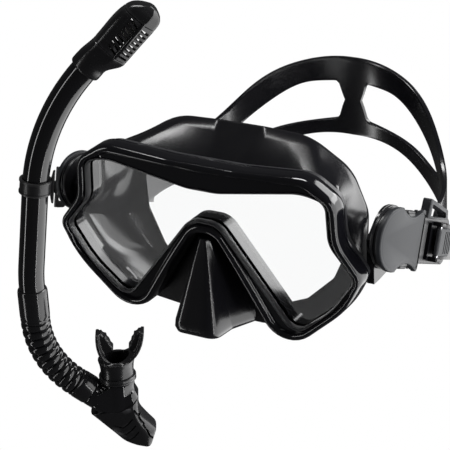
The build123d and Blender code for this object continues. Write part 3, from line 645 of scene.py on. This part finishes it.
def smooth_through(places, values, at):
    """Smooth curve through values (natural cubic) read at given places."""
    x, y = np.array(places, float), np.array(values, float)
    n, h = len(x), np.diff(x)
    m = np.zeros((n, n))
    rhs = np.zeros(n)
    m[0, 0] = m[-1, -1] = 1
    for i in range(1, n - 1):
        m[i, i - 1], m[i, i], m[i, i + 1] = h[i - 1], 2 * (h[i - 1] + h[i]), h[i]
        rhs[i] = 6 * ((y[i + 1] - y[i]) / h[i] - (y[i] - y[i - 1]) / h[i - 1])
    curve = np.linalg.solve(m, rhs)
    at = np.clip(np.array(at, float), x[0], x[-1])
    i = np.clip(np.searchsorted(x, at) - 1, 0, n - 2)
    a, b = (x[i + 1] - at) / h[i], (at - x[i]) / h[i]
    bend = ((a**3 - a) * curve[i] + (b**3 - b) * curve[i + 1]) * h[i]**2 / 6
    return a * y[i] + b * y[i + 1] + bend


def band_edges(x):
    """Heights of the strap's upper edge, its split and its lower edge at a place x."""
    side = np.abs(x)
    top = smooth_through((-32, 0, 32, 58, 78, 92), (30, 34.5, 30, 15, -6, -12), side)
    low = smooth_through((-40, 0, 40, 70, 92), (-19, -13.5, -19, -31, -34), side)
    split_top = smooth_through((7, 18, 30, 50, 62, 71), (20, 19, 17, 5, -6, -16.5), side)
    split_low = smooth_through((7, 25, 48, 60, 71), (-3.5, -7, -12.5, -16.5, -17.5), side)
    middle = (split_top + split_low) / 2
    ends = np.minimum((side - 6.5) / 4.5, (72 - side) / 7.0)
    share = np.sqrt(np.clip(1 - (1 - np.clip(ends, 0, 1)) ** 2, 0, 1))
    return top, middle + (split_top - middle) * share, middle + (split_low - middle) * share, low


def strap_columns():
    """Columns of the strap from its left tail round the head to its right tail."""
    columns = []
    run = loop_radius
    tail = [(roller_u + d, roller_x + run) for d in (26, 20, 13, 6, 0)]
    wrap = [(roller_u - run * sin(a), roller_x + run * cos(a))
            for a in np.linspace(0.3, pi - 0.3, 9)]
    inner = [(roller_u + d, roller_x - run) for d in (0, 3)]
    for u, x in tail + wrap + inner:
        centre = pivot + buckle_back * u + np.array((x, 0, 0))
        columns.append((centre, buckle_up, (9.3, 0.0, 0.0, -9.3)))
    start = columns[-1]
    angles = np.radians(np.concatenate([[4, 6, 8, 10, 13, 16, 20], np.linspace(23, 90, 62)]))
    band = []
    for a in angles:
        x = half_width * cos(a)
        top, s_top, s_low, low = (float(v[0]) for v in band_edges(np.array([x])))
        middle = (top + low) / 2
        centre = np.array((x, band_start + half_depth * sin(a), middle))
        band.append((centre, np.array((0, 0, 1.0)), (top - middle, s_top - middle, s_low - middle,
                                                     low - middle)))
    for i, share in enumerate((0.25, 0.5, 0.75, 0.9)):
        c, w, o = band[i]
        share = share * share * (3 - 2 * share)
        axis = start[1] * (1 - share) + w * share
        band[i] = (start[0] * (1 - share) + c * share, axis / np.linalg.norm(axis),
                   tuple(p * (1 - share) + q * share for p, q in zip(start[2], o)))
    columns += band
    other = [(c * (-1, 1, 1), w, o) for c, w, o in reversed(columns[:-1])]
    return columns + other


columns = strap_columns()
upper_rows, lower_rows = [], []
for share in np.linspace(0, 1, 9):
    upper_rows.append([c + w * (o[0] * (1 - share) + o[1] * share) for c, w, o in columns])
    lower_rows.append([c + w * (o[2] * (1 - share) + o[3] * share) for c, w, o in columns])
strap = skin("head_strap", upper_rows, strap_silicone, around=False, outwards=False)
lower_band = skin("lower_band", lower_rows, strap_silicone, around=False, outwards=False)
bpy.ops.object.select_all(action="DESELECT")
lower_band.select_set(True)
strap.select_set(True)
bpy.context.view_layer.objects.active = strap
bpy.ops.object.join()
bpy.ops.object.mode_set(mode="EDIT")
bpy.ops.mesh.select_all(action="SELECT")
bpy.ops.mesh.remove_doubles(threshold=2e-5)
bpy.ops.mesh.normals_make_consistent(inside=False)
bpy.ops.object.mode_set(mode="OBJECT")
thickness = strap.modifiers.new("thickness", "SOLIDIFY")
thickness.thickness, thickness.offset = 2.4 * mm, 0
bpy.ops.object.modifier_apply(modifier="thickness")
soften(strap, 0.7, 2, 50)
place_one(strap, "strap_harness", "silicone", "strap")

# ---------------------------------------------------------------- snorkel

across = np.array((0.848048, 0.529919, 0))
forwards = np.array((0.529919, -0.848048, 0))
upright = np.array((0, 0, 1.0))
snorkel_origin = np.array((-216.0, 133.0, -104.0))


def on_snorkel(points, n=0.0):
    """Points (across, up) of the snorkel's own plane, moved forwards by n."""
    points = np.atleast_2d(points)
    n = np.broadcast_to(n, len(points))
    return (snorkel_origin + points[:, :1] * across + points[:, 1:2] * upright
            + n[:, None] * forwards)


round_sides = 56
tube_outside, tube_inside = 8.75, 7.25
tube_s, hose_top, hose_radius, rib_count = -5, -62, 64.0, 10
tube_line = rounded([(tube_s, -50, 0), (tube_s, -30, 120), (10.3, 79.9, 140), (48, 119, 0)], 30, 16,
                    False)
outside = tube_rings(on_snorkel(tube_line), tube_outside, round_sides)
inside = tube_rings(on_snorkel(tube_line), tube_inside, round_sides)
tube = skin("snorkel_tube", outside + inside[::-1], tube_gloss, loop=True)
place_one(tube, "snorkel", "tube_gloss", "main_tube")

cuff_base = on_snorkel((tube_s, hose_top))[0]
cuff = turned_piece("hose_cuff_sleeve", cuff_base, upright, [
    (8.7, 0.2), (9.6, 0), (9.95, 0.4), (10.05, 1.2), (9.7, 1.8), (9.75, 2.4), (10.1, 3.0),
    (10.2, 5), (10.2, 19.5), (10.15, 21.5), (9.9, 22.9), (9.45, 23.7), (8.9, 24),
    (8.8, 23.4)], hose_silicone,
    round_sides, loop=True)
place_one(cuff, "snorkel", "hose_silicone", "hose_cuff")

hose_turn = radians(50.4)
sweep = np.linspace(0, hose_turn, rib_count * 14 + 1)
hose_line = np.c_[tube_s + hose_radius * (1 - np.cos(sweep)),
                  hose_top - hose_radius * np.sin(sweep)]
phase = np.linspace(0, rib_count, len(sweep)) % 1.0
crest = 1 - np.abs(2 * phase - 1) ** 3.2
hose_outer = tube_rings(on_snorkel(hose_line), 8.35 + 1.75 * crest, round_sides)
hose_inner = tube_rings(on_snorkel(hose_line), 7.2 + 0.9 * crest, round_sides)
hose = skin("corrugated_tube", hose_outer + hose_inner[::-1], hose_silicone, loop=True, angle=60)
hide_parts("corrugated_hose")
hose_start, hose_end = on_snorkel(hose_line[0])[0], on_snorkel(hose_line[-1])[0]
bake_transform(hose)

duct_way = across * sin(hose_turn) - upright * cos(hose_turn)
lower = turned_piece("lower_cuff_sleeve", hose_end, duct_way, [
    (7.3, 0.1), (9.4, 0), (9.9, 0.3), (10.1, 0.9), (9.8, 1.5), (9.85, 2.2), (10.15, 2.8), (10.2, 5),
    (10.2, 11.0), (10.0, 11.8), (9.6, 12), (7.3, 12)], hose_silicone, round_sides, loop=True)
place_one(lower, "lower_end", "hose_silicone", "lower_cuff")


def joined(name, pieces, finishes, voxel=0.7, smooth=6, angle=60):
    """Separate shapes grown into one smooth moulded body."""
    bpy.ops.object.select_all(action="DESELECT")
    for piece in pieces:
        piece.select_set(True)
    bpy.context.view_layer.objects.active = pieces[0]
    bpy.ops.object.join()
    body = bpy.context.object
    grow = body.modifiers.new("grow", "REMESH")
    grow.mode, grow.voxel_size = "VOXEL", voxel * mm
    bpy.ops.object.modifier_apply(modifier="grow")
    ease = body.modifiers.new("ease", "SMOOTH")
    ease.factor, ease.iterations = 0.5, smooth
    bpy.ops.object.modifier_apply(modifier="ease")
    body.data.materials.clear()
    return tidy(body, name, finishes, angle)


def solid(origin, axis, profile, sides=40):
    """Plain turned solid used as a starting shape."""
    return turned_piece("start_shape", origin, axis, [(0.001, profile[0][1]), *profile,
                                                      (0.001, profile[-1][1])], [], sides)


def slab(path, levels, place):
    """Closed body on a flat path; levels are (inset, distance off the plane)."""
    return plate("start_shape", path, place, levels, [])


barrel_s, seam_left, seam_right = 47.0, np.array((26.0, -134.5)), np.array((60.0, -123.0))
duct_start = hose_end + duct_way * 12
seam_shares = np.linspace(0, 1, 21)
seam_sag = smooth_through((0, 0.22, 0.5, 0.78, 1), (0, -1.0, 3.6, 2.6, 0), seam_shares)
seam_normal = np.array((0.3204, -0.9473))
seam_line = seam_left + (seam_right - seam_left) * seam_shares[:, None]
seam_line = seam_line + seam_normal * seam_sag[:, None]
seam_cut = np.concatenate([seam_line, [(66, -122), (66, -190), (18, -190), (18, -137)]])

duct_at = (duct_start - snorkel_origin) @ across, duct_start[2] - snorkel_origin[2]
chamber_side = rounded([(barrel_s - 10.6, -117, 3), (barrel_s + 10.8, -117, 3), (60.5, -123, 3),
                        (60, -142, 6), (44, -146, 8), (duct_at[0] - 1, duct_at[1] - 9.5, 4),
                        (duct_at[0] + 7, duct_at[1] + 7, 5)], 6, 4)
side_levels = [(6.5, -10.6), (3.2, -9.9), (1.2, -8.2), (0.2, -5.5), (0, 0), (0.2, 5.5), (1.2, 8.2),
               (3.2, 9.9), (6.5, 10.6)]
chamber = joined("chamber_body", [
    slab(chamber_side, side_levels, on_snorkel),
    solid(duct_start, duct_way, [(9.8, 0), (10.0, 1), (9.9, 12), (9.0, 20)]),
    solid(on_snorkel((barrel_s, -134))[0], upright,
          [(10.0, 0), (11.3, 6), (11.3, 20.5), (10.9, 22)]),
], tube_gloss)
seam_tool = slab(seam_cut, [(0, -30), (0, 30)], on_snorkel)
cut(chamber, seam_tool)
bore = solid(on_snorkel((barrel_s, -130))[0], upright, [(8.5, 0), (8.5, 30)])
duct_bore = solid(duct_start - duct_way * 2, duct_way, [(7.2, 0), (7.2, 22)])
cut(chamber, bore, duct_bore, angle=45)
place_one(chamber, "lower_end", "tube_gloss", "lower_chamber")

purge_line = rounded([(60.2, -123.4, 0.4), (59.6, -136, 12), (71.2, -149.8, 2.6), (66.2, -163.0, 4),
                      (49, -158.5, 20), (26.4, -135.0, 0.4)], 8, 8)
ridge_from, ridge_to = np.array((54.5, -127.0)), np.array((64.5, -160.0))


def purge_ring(line, share, n):
    """Side outline of the purge cover drawn in towards its ridge, moved forwards by n."""
    way = ridge_to - ridge_from
    q = np.clip((line - ridge_from) @ way / (way @ way), 0.05, 0.95)
    ridge = ridge_from + q[:, None] * way
    return on_snorkel(line * (1 - share) + ridge * share, n)


def purge_body(name, line, levels, finishes=(), angle=35):
    """Solid between purge rings on both sides of the snorkel's plane."""
    rings = [purge_ring(line, share, -n) for share, n in levels]
    rings += [purge_ring(line, share, n) for share, n in reversed(levels)]
    return plate_from_rings(name, rings, finishes, angle)


purge = purge_body("purge_cover_shell", purge_line, [
    (0.97, 11.2), (0.7, 10.9), (0.4, 10.0), (0.2, 8.9), (0.08, 7.2), (0.02, 5.0), (0, 2.0)],
    dry_top_black, 30)
below_line = np.concatenate([seam_line + seam_normal * 0.25,
                             [(80, -120), (80, -190), (10, -190), (10, -138)]])
below_seam = slab(below_line, [(0, -30), (0, 30)], on_snorkel)
cut(purge, below_seam, operation="INTERSECT")
seam_middle = (seam_left + seam_right) / 2
hollow_line = seam_middle + (purge_line - seam_middle) * 0.8
cut(purge, purge_body("purge_hollow", hollow_line, [
    (0.97, 8.9), (0.7, 8.6), (0.4, 7.9), (0.2, 6.8), (0.08, 5.0), (0, 2.0)]))


def groove(points, half, low, high):
    """Cutting strip along an open line of points in the snorkel's plane."""
    points = np.array(points, float)
    along = np.gradient(points, axis=0)
    along /= np.linalg.norm(along, axis=1)[:, None]
    side = np.c_[-along[:, 1], along[:, 0]] * half
    loop_points = np.concatenate([points + side, (points - side)[::-1]])
    return slab(loop_points, [(0, low), (0, high)], on_snorkel)


for number in range(3):
    drop = np.array((1.2, -5.2)) * number
    chevron = np.array([(35.5, -140.6), (42, -143.0), (48.5, -144.6), (52.5, -141.2),
                        (55.5, -137.6)]) + drop
    cut(purge, groove(chevron + (0.6 * number, 0), 0.42, 9.0 - 0.1 * number, 13.0))
for number in range(4):
    start = np.array((56.8, -130.5)) + np.array((2.7, -6.0)) * number
    cut(purge, groove([start, start + (1.4, -3.2), start + (3.6, -6.4)], 0.62, 4.0, 13.0))
bpy.ops.object.shade_smooth_by_angle(angle=radians(30))
place_one(purge, "lower_end", "dry_top_black", "purge_cover")

# ---------------------------------------------------------------- mouthpiece

mouth_base = on_snorkel((barrel_s, -112))[0]
guard_rise, guard_spread, guard_half, guard_low, guard_dip = 20.0, 15.4, 9.6, -94.5, 1.6
mouth_shift = 4.0
guard_rows = []
for v in np.linspace(-1, 1, 13):
    row = []
    for u in np.linspace(-1, 1, 41):
        height = guard_rise * (1 - cos(abs(u) * pi / 2)) ** 1.15
        spread_s = guard_spread * sin(abs(u) * pi / 2) ** 0.95 * (1 if u > 0 else -1)
        half_n = guard_half * (1 - 0.45 * abs(u) ** 3)
        dip = guard_dip * v * v * (1 - abs(u))
        spot = (barrel_s + mouth_shift * abs(u) + spread_s, guard_low + height - dip)
        row.append(on_snorkel(spot, half_n * v)[0])
    guard_rows.append(row)
guard = skin("start_shape", guard_rows, [], around=False, outwards=False)
wall = guard.modifiers.new("wall", "SOLIDIFY")
wall.thickness, wall.offset = 2.3 * mm, 0
bpy.context.view_layer.objects.active = guard
bpy.ops.object.modifier_apply(modifier="wall")
barrel = solid(mouth_base, upright, [(11.3, 0), (11.5, 0.6), (11.4, 9), (11.8, 13), (12.8, 17.0)])
bites = []
for side in (-1, 1):
    edge = [(12.6, -90.6), (14.6, -86), (15.4, -80), (14.8, -76.4), (12.8, -75.0), (11.4, -77.2),
            (9.4, -77.6), (9.0, -80.2), (7.6, -81.4), (6.8, -84.6), (5.2, -86.2), (5.4, -88.8),
            (8.2, -90.6)]
    path = np.array([(barrel_s + mouth_shift + side * s, t + 1.0) for s, t in edge])
    bites.append(slab(path, [(0.6, -4.0), (0, -3.4), (0, 3.4), (0.6, 4.0)], on_snorkel))
mouth = joined("mouthpiece_body", [guard, barrel, *bites], mouth_silicone, 0.6, 4)
mouth_bore = solid(on_snorkel((barrel_s, -113))[0], upright, [(8.5, 0), (8.5, 17.5), (9.6, 22.5)])
cut(mouth, mouth_bore, angle=50)
place_one(mouth, "lower_end", "mouth_silicone", "mouthpiece")
clamp = turned_piece("mouth_clamp_band", mouth_base + upright, upright, [
    (11.55, 0), (12.4, 0.1), (12.8, 0.6), (12.8, 1.3), (12.45, 1.7), (12.45, 2.3), (12.8, 2.7),
    (12.8, 3.4), (12.4, 3.9), (11.55, 4)], mouth_silicone, round_sides, loop=True)
place_one(clamp, "lower_end", "mouth_silicone", "mouth_clamp")

# ---------------------------------------------------------------- dry top

top_origin = np.array((-175.294, 158.436, 15.0))
top_axis = np.array((0.588631, 0.367818, 0.719877))
top_out = -np.array((0.61049, 0.381477, -0.694101))
hexagon = rounded([(11.2, -7.6, 1.6), (8.0, 8.4, 6), (-8.0, 8.4, 6), (-11.2, -7.6, 1.6),
                   (-5.6, -16.6, 5), (5.6, -16.6, 5)], 8, 8)
hex_angles = np.arctan2(hexagon[:, 1] + 4, hexagon[:, 0])
tube_circle = np.c_[np.cos(hex_angles), np.sin(hex_angles)]


def top_section(w, inset=0.0):
    """Section of the dry top at a distance w along its axis."""
    grow = np.clip((w + 1) / 13.0, 0, 1)
    grow = grow * grow * (3 - 2 * grow)
    high = float(smooth_through((-8, 0, 20, 34, 41, 48, 52.4), (9, 8.6, 8.4, 8.4, 7.2, 2.8, -4.4),
                                [w])[0])
    low = float(smooth_through((-8, 0, 20, 34, 45, 49.5, 52.4), (-16.6, -16.6, -16.6, -16.6, -16.4,
                                                              -14.0, -8.6), [w])[0])
    wide = float(smooth_through((-8, 0, 30, 40, 46, 50, 52.4), (1, 1, 1, 0.97, 0.86, 0.66, 0.36),
                                [w])[0])
    shape = np.c_[hexagon[:, 0] * wide, low + (hexagon[:, 1] + 16.6) / 25.0 * (high - low)]
    path = tube_circle * 10.5 * (1 - grow) + shape * grow
    if inset:
        path = grown(path, -inset)
    return top_origin + top_axis * w + path[:, :1] * forwards + path[:, 1:] * top_out


collar_rows = [top_origin + top_axis * w + tube_circle @ np.array((forwards, top_out)) * r
               for w, r in ((-8.0, 8.85), (-8.0, 9.9), (-7.5, 10.4), (-6.5, 10.6), (-3, 10.6))]
collar_rows += [top_section(w) for w in (-1, 1, 3, 5, 7, 9, 11, 12.2)]
collar_rows += [top_section(12.7, 0.5), top_section(12.7, 2.2), top_section(9, 2.2)]
collar_rows += [top_origin + top_axis * w + tube_circle @ np.array((forwards, top_out)) * r
                for w, r in ((7, 7.6), (2, 7.6), (-1, 8.85))]
collar = skin("dry_top_collar_shell", collar_rows, dry_top_black, loop=True, angle=40)
place_one(collar, "snorkel", "dry_top_black", "dry_top_collar")

shroud_rows = [top_section(12.7, 0.55)] + [top_section(w) for w in np.linspace(13.2, 40.4, 12)]
shroud_rows += [top_section(40.9, 0.55)] + [top_section(w, 1.5) for w in np.linspace(40.9, 12.7, 8)]
shroud = skin("dry_top_shroud_shell", shroud_rows, dry_top_black, loop=True, angle=40)
slot_count, first_slot, slot_pitch, slot_width, slot_reach = 8, 14.6, 3.1, 1.55, 14
for number in range(slot_count):
    w = first_slot + slot_pitch * number
    for low_v, high_v, slant in ((-6.0, 0.6, 1.8), (-15.2, -8.9, 0.4)):
        corners = []
        for n in (-slot_reach, slot_reach):
            for dw, v in ((0, low_v), (slot_width, low_v), (slot_width + slant, high_v),
                          (slant, high_v)):
                corners.append(top_origin + top_axis * (w + dw) + top_out * v + forwards * n)
        cut(shroud, box_tool(np.array(corners)))
bpy.ops.object.shade_smooth_by_angle(angle=radians(40))
place_one(shroud, "snorkel", "dry_top_black", "dry_top_shroud")

cap_rows = [top_section(41.0, 2.0), top_section(41.0, 0.5)]
cap_rows += [top_section(w) for w in (41.4, 43, 45, 46.5, 48, 49.3, 50.4, 51.3, 52.0)]
cap_rows += [top_section(52.35, 1.6), point_row(top_section(52.5, 2.5))]
cap_rows += [point_row(top_section(50.3, 2)), top_section(49.5, 2.2), top_section(45, 2.0)]
cap = skin("dry_top_cap_shell", cap_rows, dry_top_black, loop=True, angle=50)
place_one(cap, "snorkel", "dry_top_black", "dry_top_cap")

spine_v, spine_n, spine_sides = 7.6, 10.7, 20
spine_rows = []
for w, r in ((12.6, 0.05), (12.9, 0.9), (14, 1.25), (30, 1.25), (39, 1.15), (42, 0.8), (43, 0.05)):
    angles = np.arange(spine_sides) * 2 * pi / spine_sides
    centre = top_origin + top_axis * w - top_out * spine_v + forwards * spine_n
    spine_rows.append(centre + forwards * (0.8 * r * np.cos(angles))[:, None]
                      + top_out * (r * np.sin(angles))[:, None])
spine = plate_from_rings("dry_top_spine", spine_rows, tube_gloss, 50)
place_one(spine, "snorkel", "dry_top_black")

# ---------------------------------------------------------------- keeper

keeper_base = np.array((-213.07, 134.83, -73.0))
keeper_axis = np.array((0.123855, 0.077393, 0.989278))
keeper_out = np.array((0.838955, 0.524237, -0.146047))
keeper_side = np.cross(keeper_axis, keeper_out)


def on_keeper(points, lift=0.0):
    """Points (outwards, along the tube) of the keeper's plane, moved sideways by lift."""
    points = np.atleast_2d(points)
    return (keeper_base + points[:, :1] * keeper_out + points[:, 1:2] * keeper_axis
            + lift * keeper_side)


ring = turned_piece("keeper_band", keeper_base, keeper_axis, [
    (9.05, 0.1), (10.3, 0), (10.8, 0.4), (10.85, 1.5), (10.35, 1.9), (10.35, 8.1), (10.85, 8.5),
    (10.8, 9.6), (10.3, 10), (9.05, 9.9)], keeper_black, round_sides, loop=True)
arm = plate("keeper_arm", rounded([(9.6, 0.6, 1.5), (11.0, -6.4, 1.0), (12.4, -6.4, 0.5),
                                   (12.4, 16.4, 0.5), (11.0, 16.4, 1.0), (9.6, 9.4, 1.5)], 6, 4),
            on_keeper, [(0.4, -1.6), (0, -1.2), (0, 1.2), (0.4, 1.6)], keeper_black)
knuckle = turned_piece("keeper_knuckle", on_keeper((14, 1))[0], keeper_axis, [
    (0.01, 0), (1.7, 0), (2.0, 0.3), (2.0, 7.7), (1.7, 8), (0.01, 8)], [], 32)
neck = plate("keeper_neck", np.array([(11.2, 1.2), (14.0, 1.2), (14.0, 8.8), (11.2, 8.8)]),
             on_keeper, [(0, -1.1), (0, 1.1)])
cut(ring, arm, neck, knuckle, operation="UNION", angle=40)
place_one(ring, "keeper", "keeper_black", "keeper_ring")

loop_line = rounded([(13.9, -9.4, 1.2), (20.4, -8.6, 2.2), (20.4, 18.6, 2.2),
                     (13.9, 19.4, 1.2)], 7, 4)
loop_frame = plate("keeper_loop_frame", loop_line, on_keeper,
                   [(0.7, -1.3), (0.15, -1.1), (0, -0.5), (0, 0.5), (0.15, 1.1), (0.7, 1.3)],
                   keeper_black)
loop_hole = cutting_block(rounded([(15.6, -5.4, 1.0), (18.6, -5.0, 1.0), (18.6, 15.0, 1.0),
                                   (15.6, 15.4, 1.0)], 5, 3), on_keeper, -4, 4)
arm_room = cutting_block(np.array([(11, 0.4), (16.3, 0.4), (16.3, 9.6), (11, 9.6)]), on_keeper,
                         -4, 4)
cut(loop_frame, loop_hole, arm_room, angle=40)
place_one(loop_frame, "keeper_loop", "keeper_black", "keeper_loop")

# ---------------------------------------------------------------- buckles


def on_buckle(points, x):
    """Points (back, up) of the left buckle's plane at a distance x from the middle."""
    points = np.atleast_2d(points)
    return (pivot + points[:, :1] * buckle_back + points[:, 1:2] * buckle_up
            + np.array((x, 0, 0)))


ear_rim = turned_piece("ear_rim", pivot, (1, 0, 0), [
    (14.0, 87.0), (16.1, 86.8), (16.9, 87.3), (16.95, 88.3), (16.5, 88.6), (16.5, 88.9),
    (16.95, 89.2), (16.9, 90.0), (16.2, 90.55), (14.6, 90.6), (14.0, 90.3)],
    skirt_silicone, 72, loop=True)
place_pair(ear_rim, "ear_rim", "mask")

disc_turn = np.linspace(pi, radians(84), 24)
scoop_u = np.linspace(3.4, 29.4, 15)
cover_half = np.concatenate([
    np.c_[22 * np.cos(disc_turn), 16.6 * np.sin(disc_turn)],
    np.c_[scoop_u, 12.2 + 4.0 * ((scoop_u - 16) / 13.5) ** 2],
    [(30.6, 16.1), (31.5, 14.8), (31.9, 12), (31.3, 8), (31.4, 4), (32.2, 1.2)]])
cover_line = np.concatenate([cover_half, cover_half[:0:-1] * (1, -1)])
cover_line = cover_line - (5.5, 0)
cover_rings = [on_buckle(grown(cover_line, -inset), x) for inset, x in (
    (0.6, 94.45), (0.1, 94.7), (0, 95.2), (0, 96.5), (0.15, 96.95), (0.55, 97.3), (1.1, 97.5),
    (1.5, 97.4), (1.9, 97.5), (2.6, 97.65))]
cover = plate_from_rings("buckle_cover_shell", cover_rings, buckle_grey, 50)
place_pair(cover, "buckle_cover_shell", "strap_harness", "buckle_cover")

body = plate("buckle_body_shell", grown(cover_line, -0.7), on_buckle, [
    (0.9, 90.95), (0.1, 91.4), (0, 91.9), (0, 92.9), (0.5, 93.1), (0.5, 93.4), (0, 93.6),
    (0.1, 94.2), (0.6, 94.4)], buckle_black, 40)
for side in (1, -1):
    channel = np.array([(5.7, side * 6.2), (17.3, side * 6.2), (17.3, side * 19), (5.7, side * 19)])
    cut(body, cutting_block(channel[::side], on_buckle, 91.6, 99), angle=40)
place_pair(body, "buckle_body_shell", "strap_harness", "buckle_body")


def on_side(sign):
    """Lift for a button: its outline lies across the buckle, its height runs outwards."""
    def lift(path, height):
        placed = on_buckle(np.c_[path[:, 0], np.full(len(path), sign * height)], 0.0)
        placed[:, 0] += path[:, 1]
        return placed
    return lift


for sign, where in ((1, "upper"), (-1, "lower")):
    pad = rounded([(6.25, 91.7, 1.2), (16.75, 91.7, 1.2), (16.75, 95.9, 1.9),
                   (6.25, 95.9, 1.9)], 6, 4)
    button = plate(f"{where}_button_pad", pad, on_side(sign), [
        (0.5, 8.7), (0, 9.1), (0, 12.9), (0.35, 13.6), (0.15, 13.9), (0.5, 14.6), (1.1, 15.1),
        (1.7, 15.2)], button_rubber, 40)
    place_pair(button, f"{where}_button_pad", f"{where}_button", f"{where}_button",
               each_body=True)

rail_line = rounded([(26.3, 12.2, 1), (26.3, -12.2, 1), (61, -12.6, 3), (63.2, -9, 3), (63.2, 9, 3),
                     (61, 12.6, 3)], 6, 4)
rails = plate("ratchet_rails", rail_line, on_buckle, [
    (0.8, 90.95), (0.1, 91.6), (0, 92.4), (0, 95.4), (0.1, 96.2), (0.8, 96.8)], buckle_black, 40)
window = cutting_block(rounded([(45, 9.9, 1), (45, -9.9, 1), (59.6, -9.9, 1),
                                (59.6, 9.9, 1)], 5, 3), on_buckle, 88, 99)
gap = cutting_block(rounded([(32.4, 9.8, 1), (32.4, -9.8, 1), (37.4, -9.8, 1),
                             (37.4, 9.8, 1)], 5, 3), on_buckle, 93, 99)
cut(rails, window, gap)
for side in (1, -1):
    lug = plate("lug", rounded([(39.4, 8.2 * side, 0.5), (39.4, 10.6 * side, 0.5),
                                (45.2, 10.6 * side, 0.5), (45.2, 8.2 * side, 0.5)][::side], 4, 3),
                on_buckle, [(0, 95.8), (0, 101.2), (0.6, 101.9)], [])
    cut(rails, lug, operation="UNION", angle=40)
place_pair(rails, "ratchet_rails", "strap_harness", "ratchet_frame")

guide = plate("strap_guide", rounded([(31.0, 11.4, 0.6), (32.6, 22.4, 1.0), (58.0, 17.0, 1.0),
                                      (59.8, 11.4, 0.6)], 5, 4), on_buckle, [
    (0.5, 91.4), (0, 91.8), (0, 96.2), (0.5, 96.6)], buckle_grey, 40)
guide_window = cutting_block(rounded([(34.8, 12.6, 0.8), (35.0, 19.6, 0.8), (55.2, 15.3, 0.8),
                                      (56.4, 12.6, 0.8)], 4, 3), on_buckle, 88, 99)
cut(guide, guide_window, angle=40)
place_pair(guide, "strap_guide", "strap_harness")

lever = plate("pawl_lever", rounded([(39.8, 7.5, 1.5), (39.8, -7.5, 1.5), (56.4, -7.5, 2.2),
                                     (58.4, -4, 2), (58.4, 4, 2), (56.4, 7.5, 2.2)], 6, 4),
              on_buckle, [
    (0.7, 98.9), (0, 99.3), (0, 100.4), (0.3, 100.9), (0.9, 101.2), (1.6, 101.3)], buckle_grey, 40)
for number in range(4):
    u = 47.5 + 2.4 * number
    rib = np.array([(u, 5.8), (u, -5.8), (u + 1.0, -5.8), (u + 1.0, 5.8)])
    cut(lever, cutting_block(rib, on_buckle, 100.8, 103), angle=40)
place_pair(lever, "pawl_lever", "pawl", "ratchet_pawl", each_body=True)

# ---------------------------------------------------------------- CAD nodes that stay
cad_finish = {
    lens_glass: ["lens"], frame_satin: ["rear_frame"], skirt_silicone: ["strap_ear"],
    buckle_black: ["swivel_pin", "buckle_body", "ratchet_frame", "strap_roller"],
    buckle_grey: ["buckle_cover", "ratchet_pawl"], button_rubber: ["upper_button", "lower_button"],
    pin_steel: ["button_spring", "roller_pin", "pawl_pin", "keeper_pin"],
    tube_gloss: ["main_tube", "lower_chamber"],
    hose_silicone: ["hose_cuff", "corrugated_hose", "lower_cuff"],
    dry_top_black: ["dry_top_collar", "dry_top_shroud", "dry_top_cap", "purge_seat", "purge_cover"],
    float_pale: ["valve_float"], valve_silicone: ["valve_flap", "purge_valve"],
    keeper_black: ["keeper_ring", "keeper_loop"], mouth_silicone: ["mouthpiece", "mouth_clamp"],
}
for look, bases in cad_finish.items():
    for base in bases:
        for name in {base, base + "_left", base + "_right"} & set(nodes):
            nodes[name].data.materials.clear()
            nodes[name].data.materials.append(look)
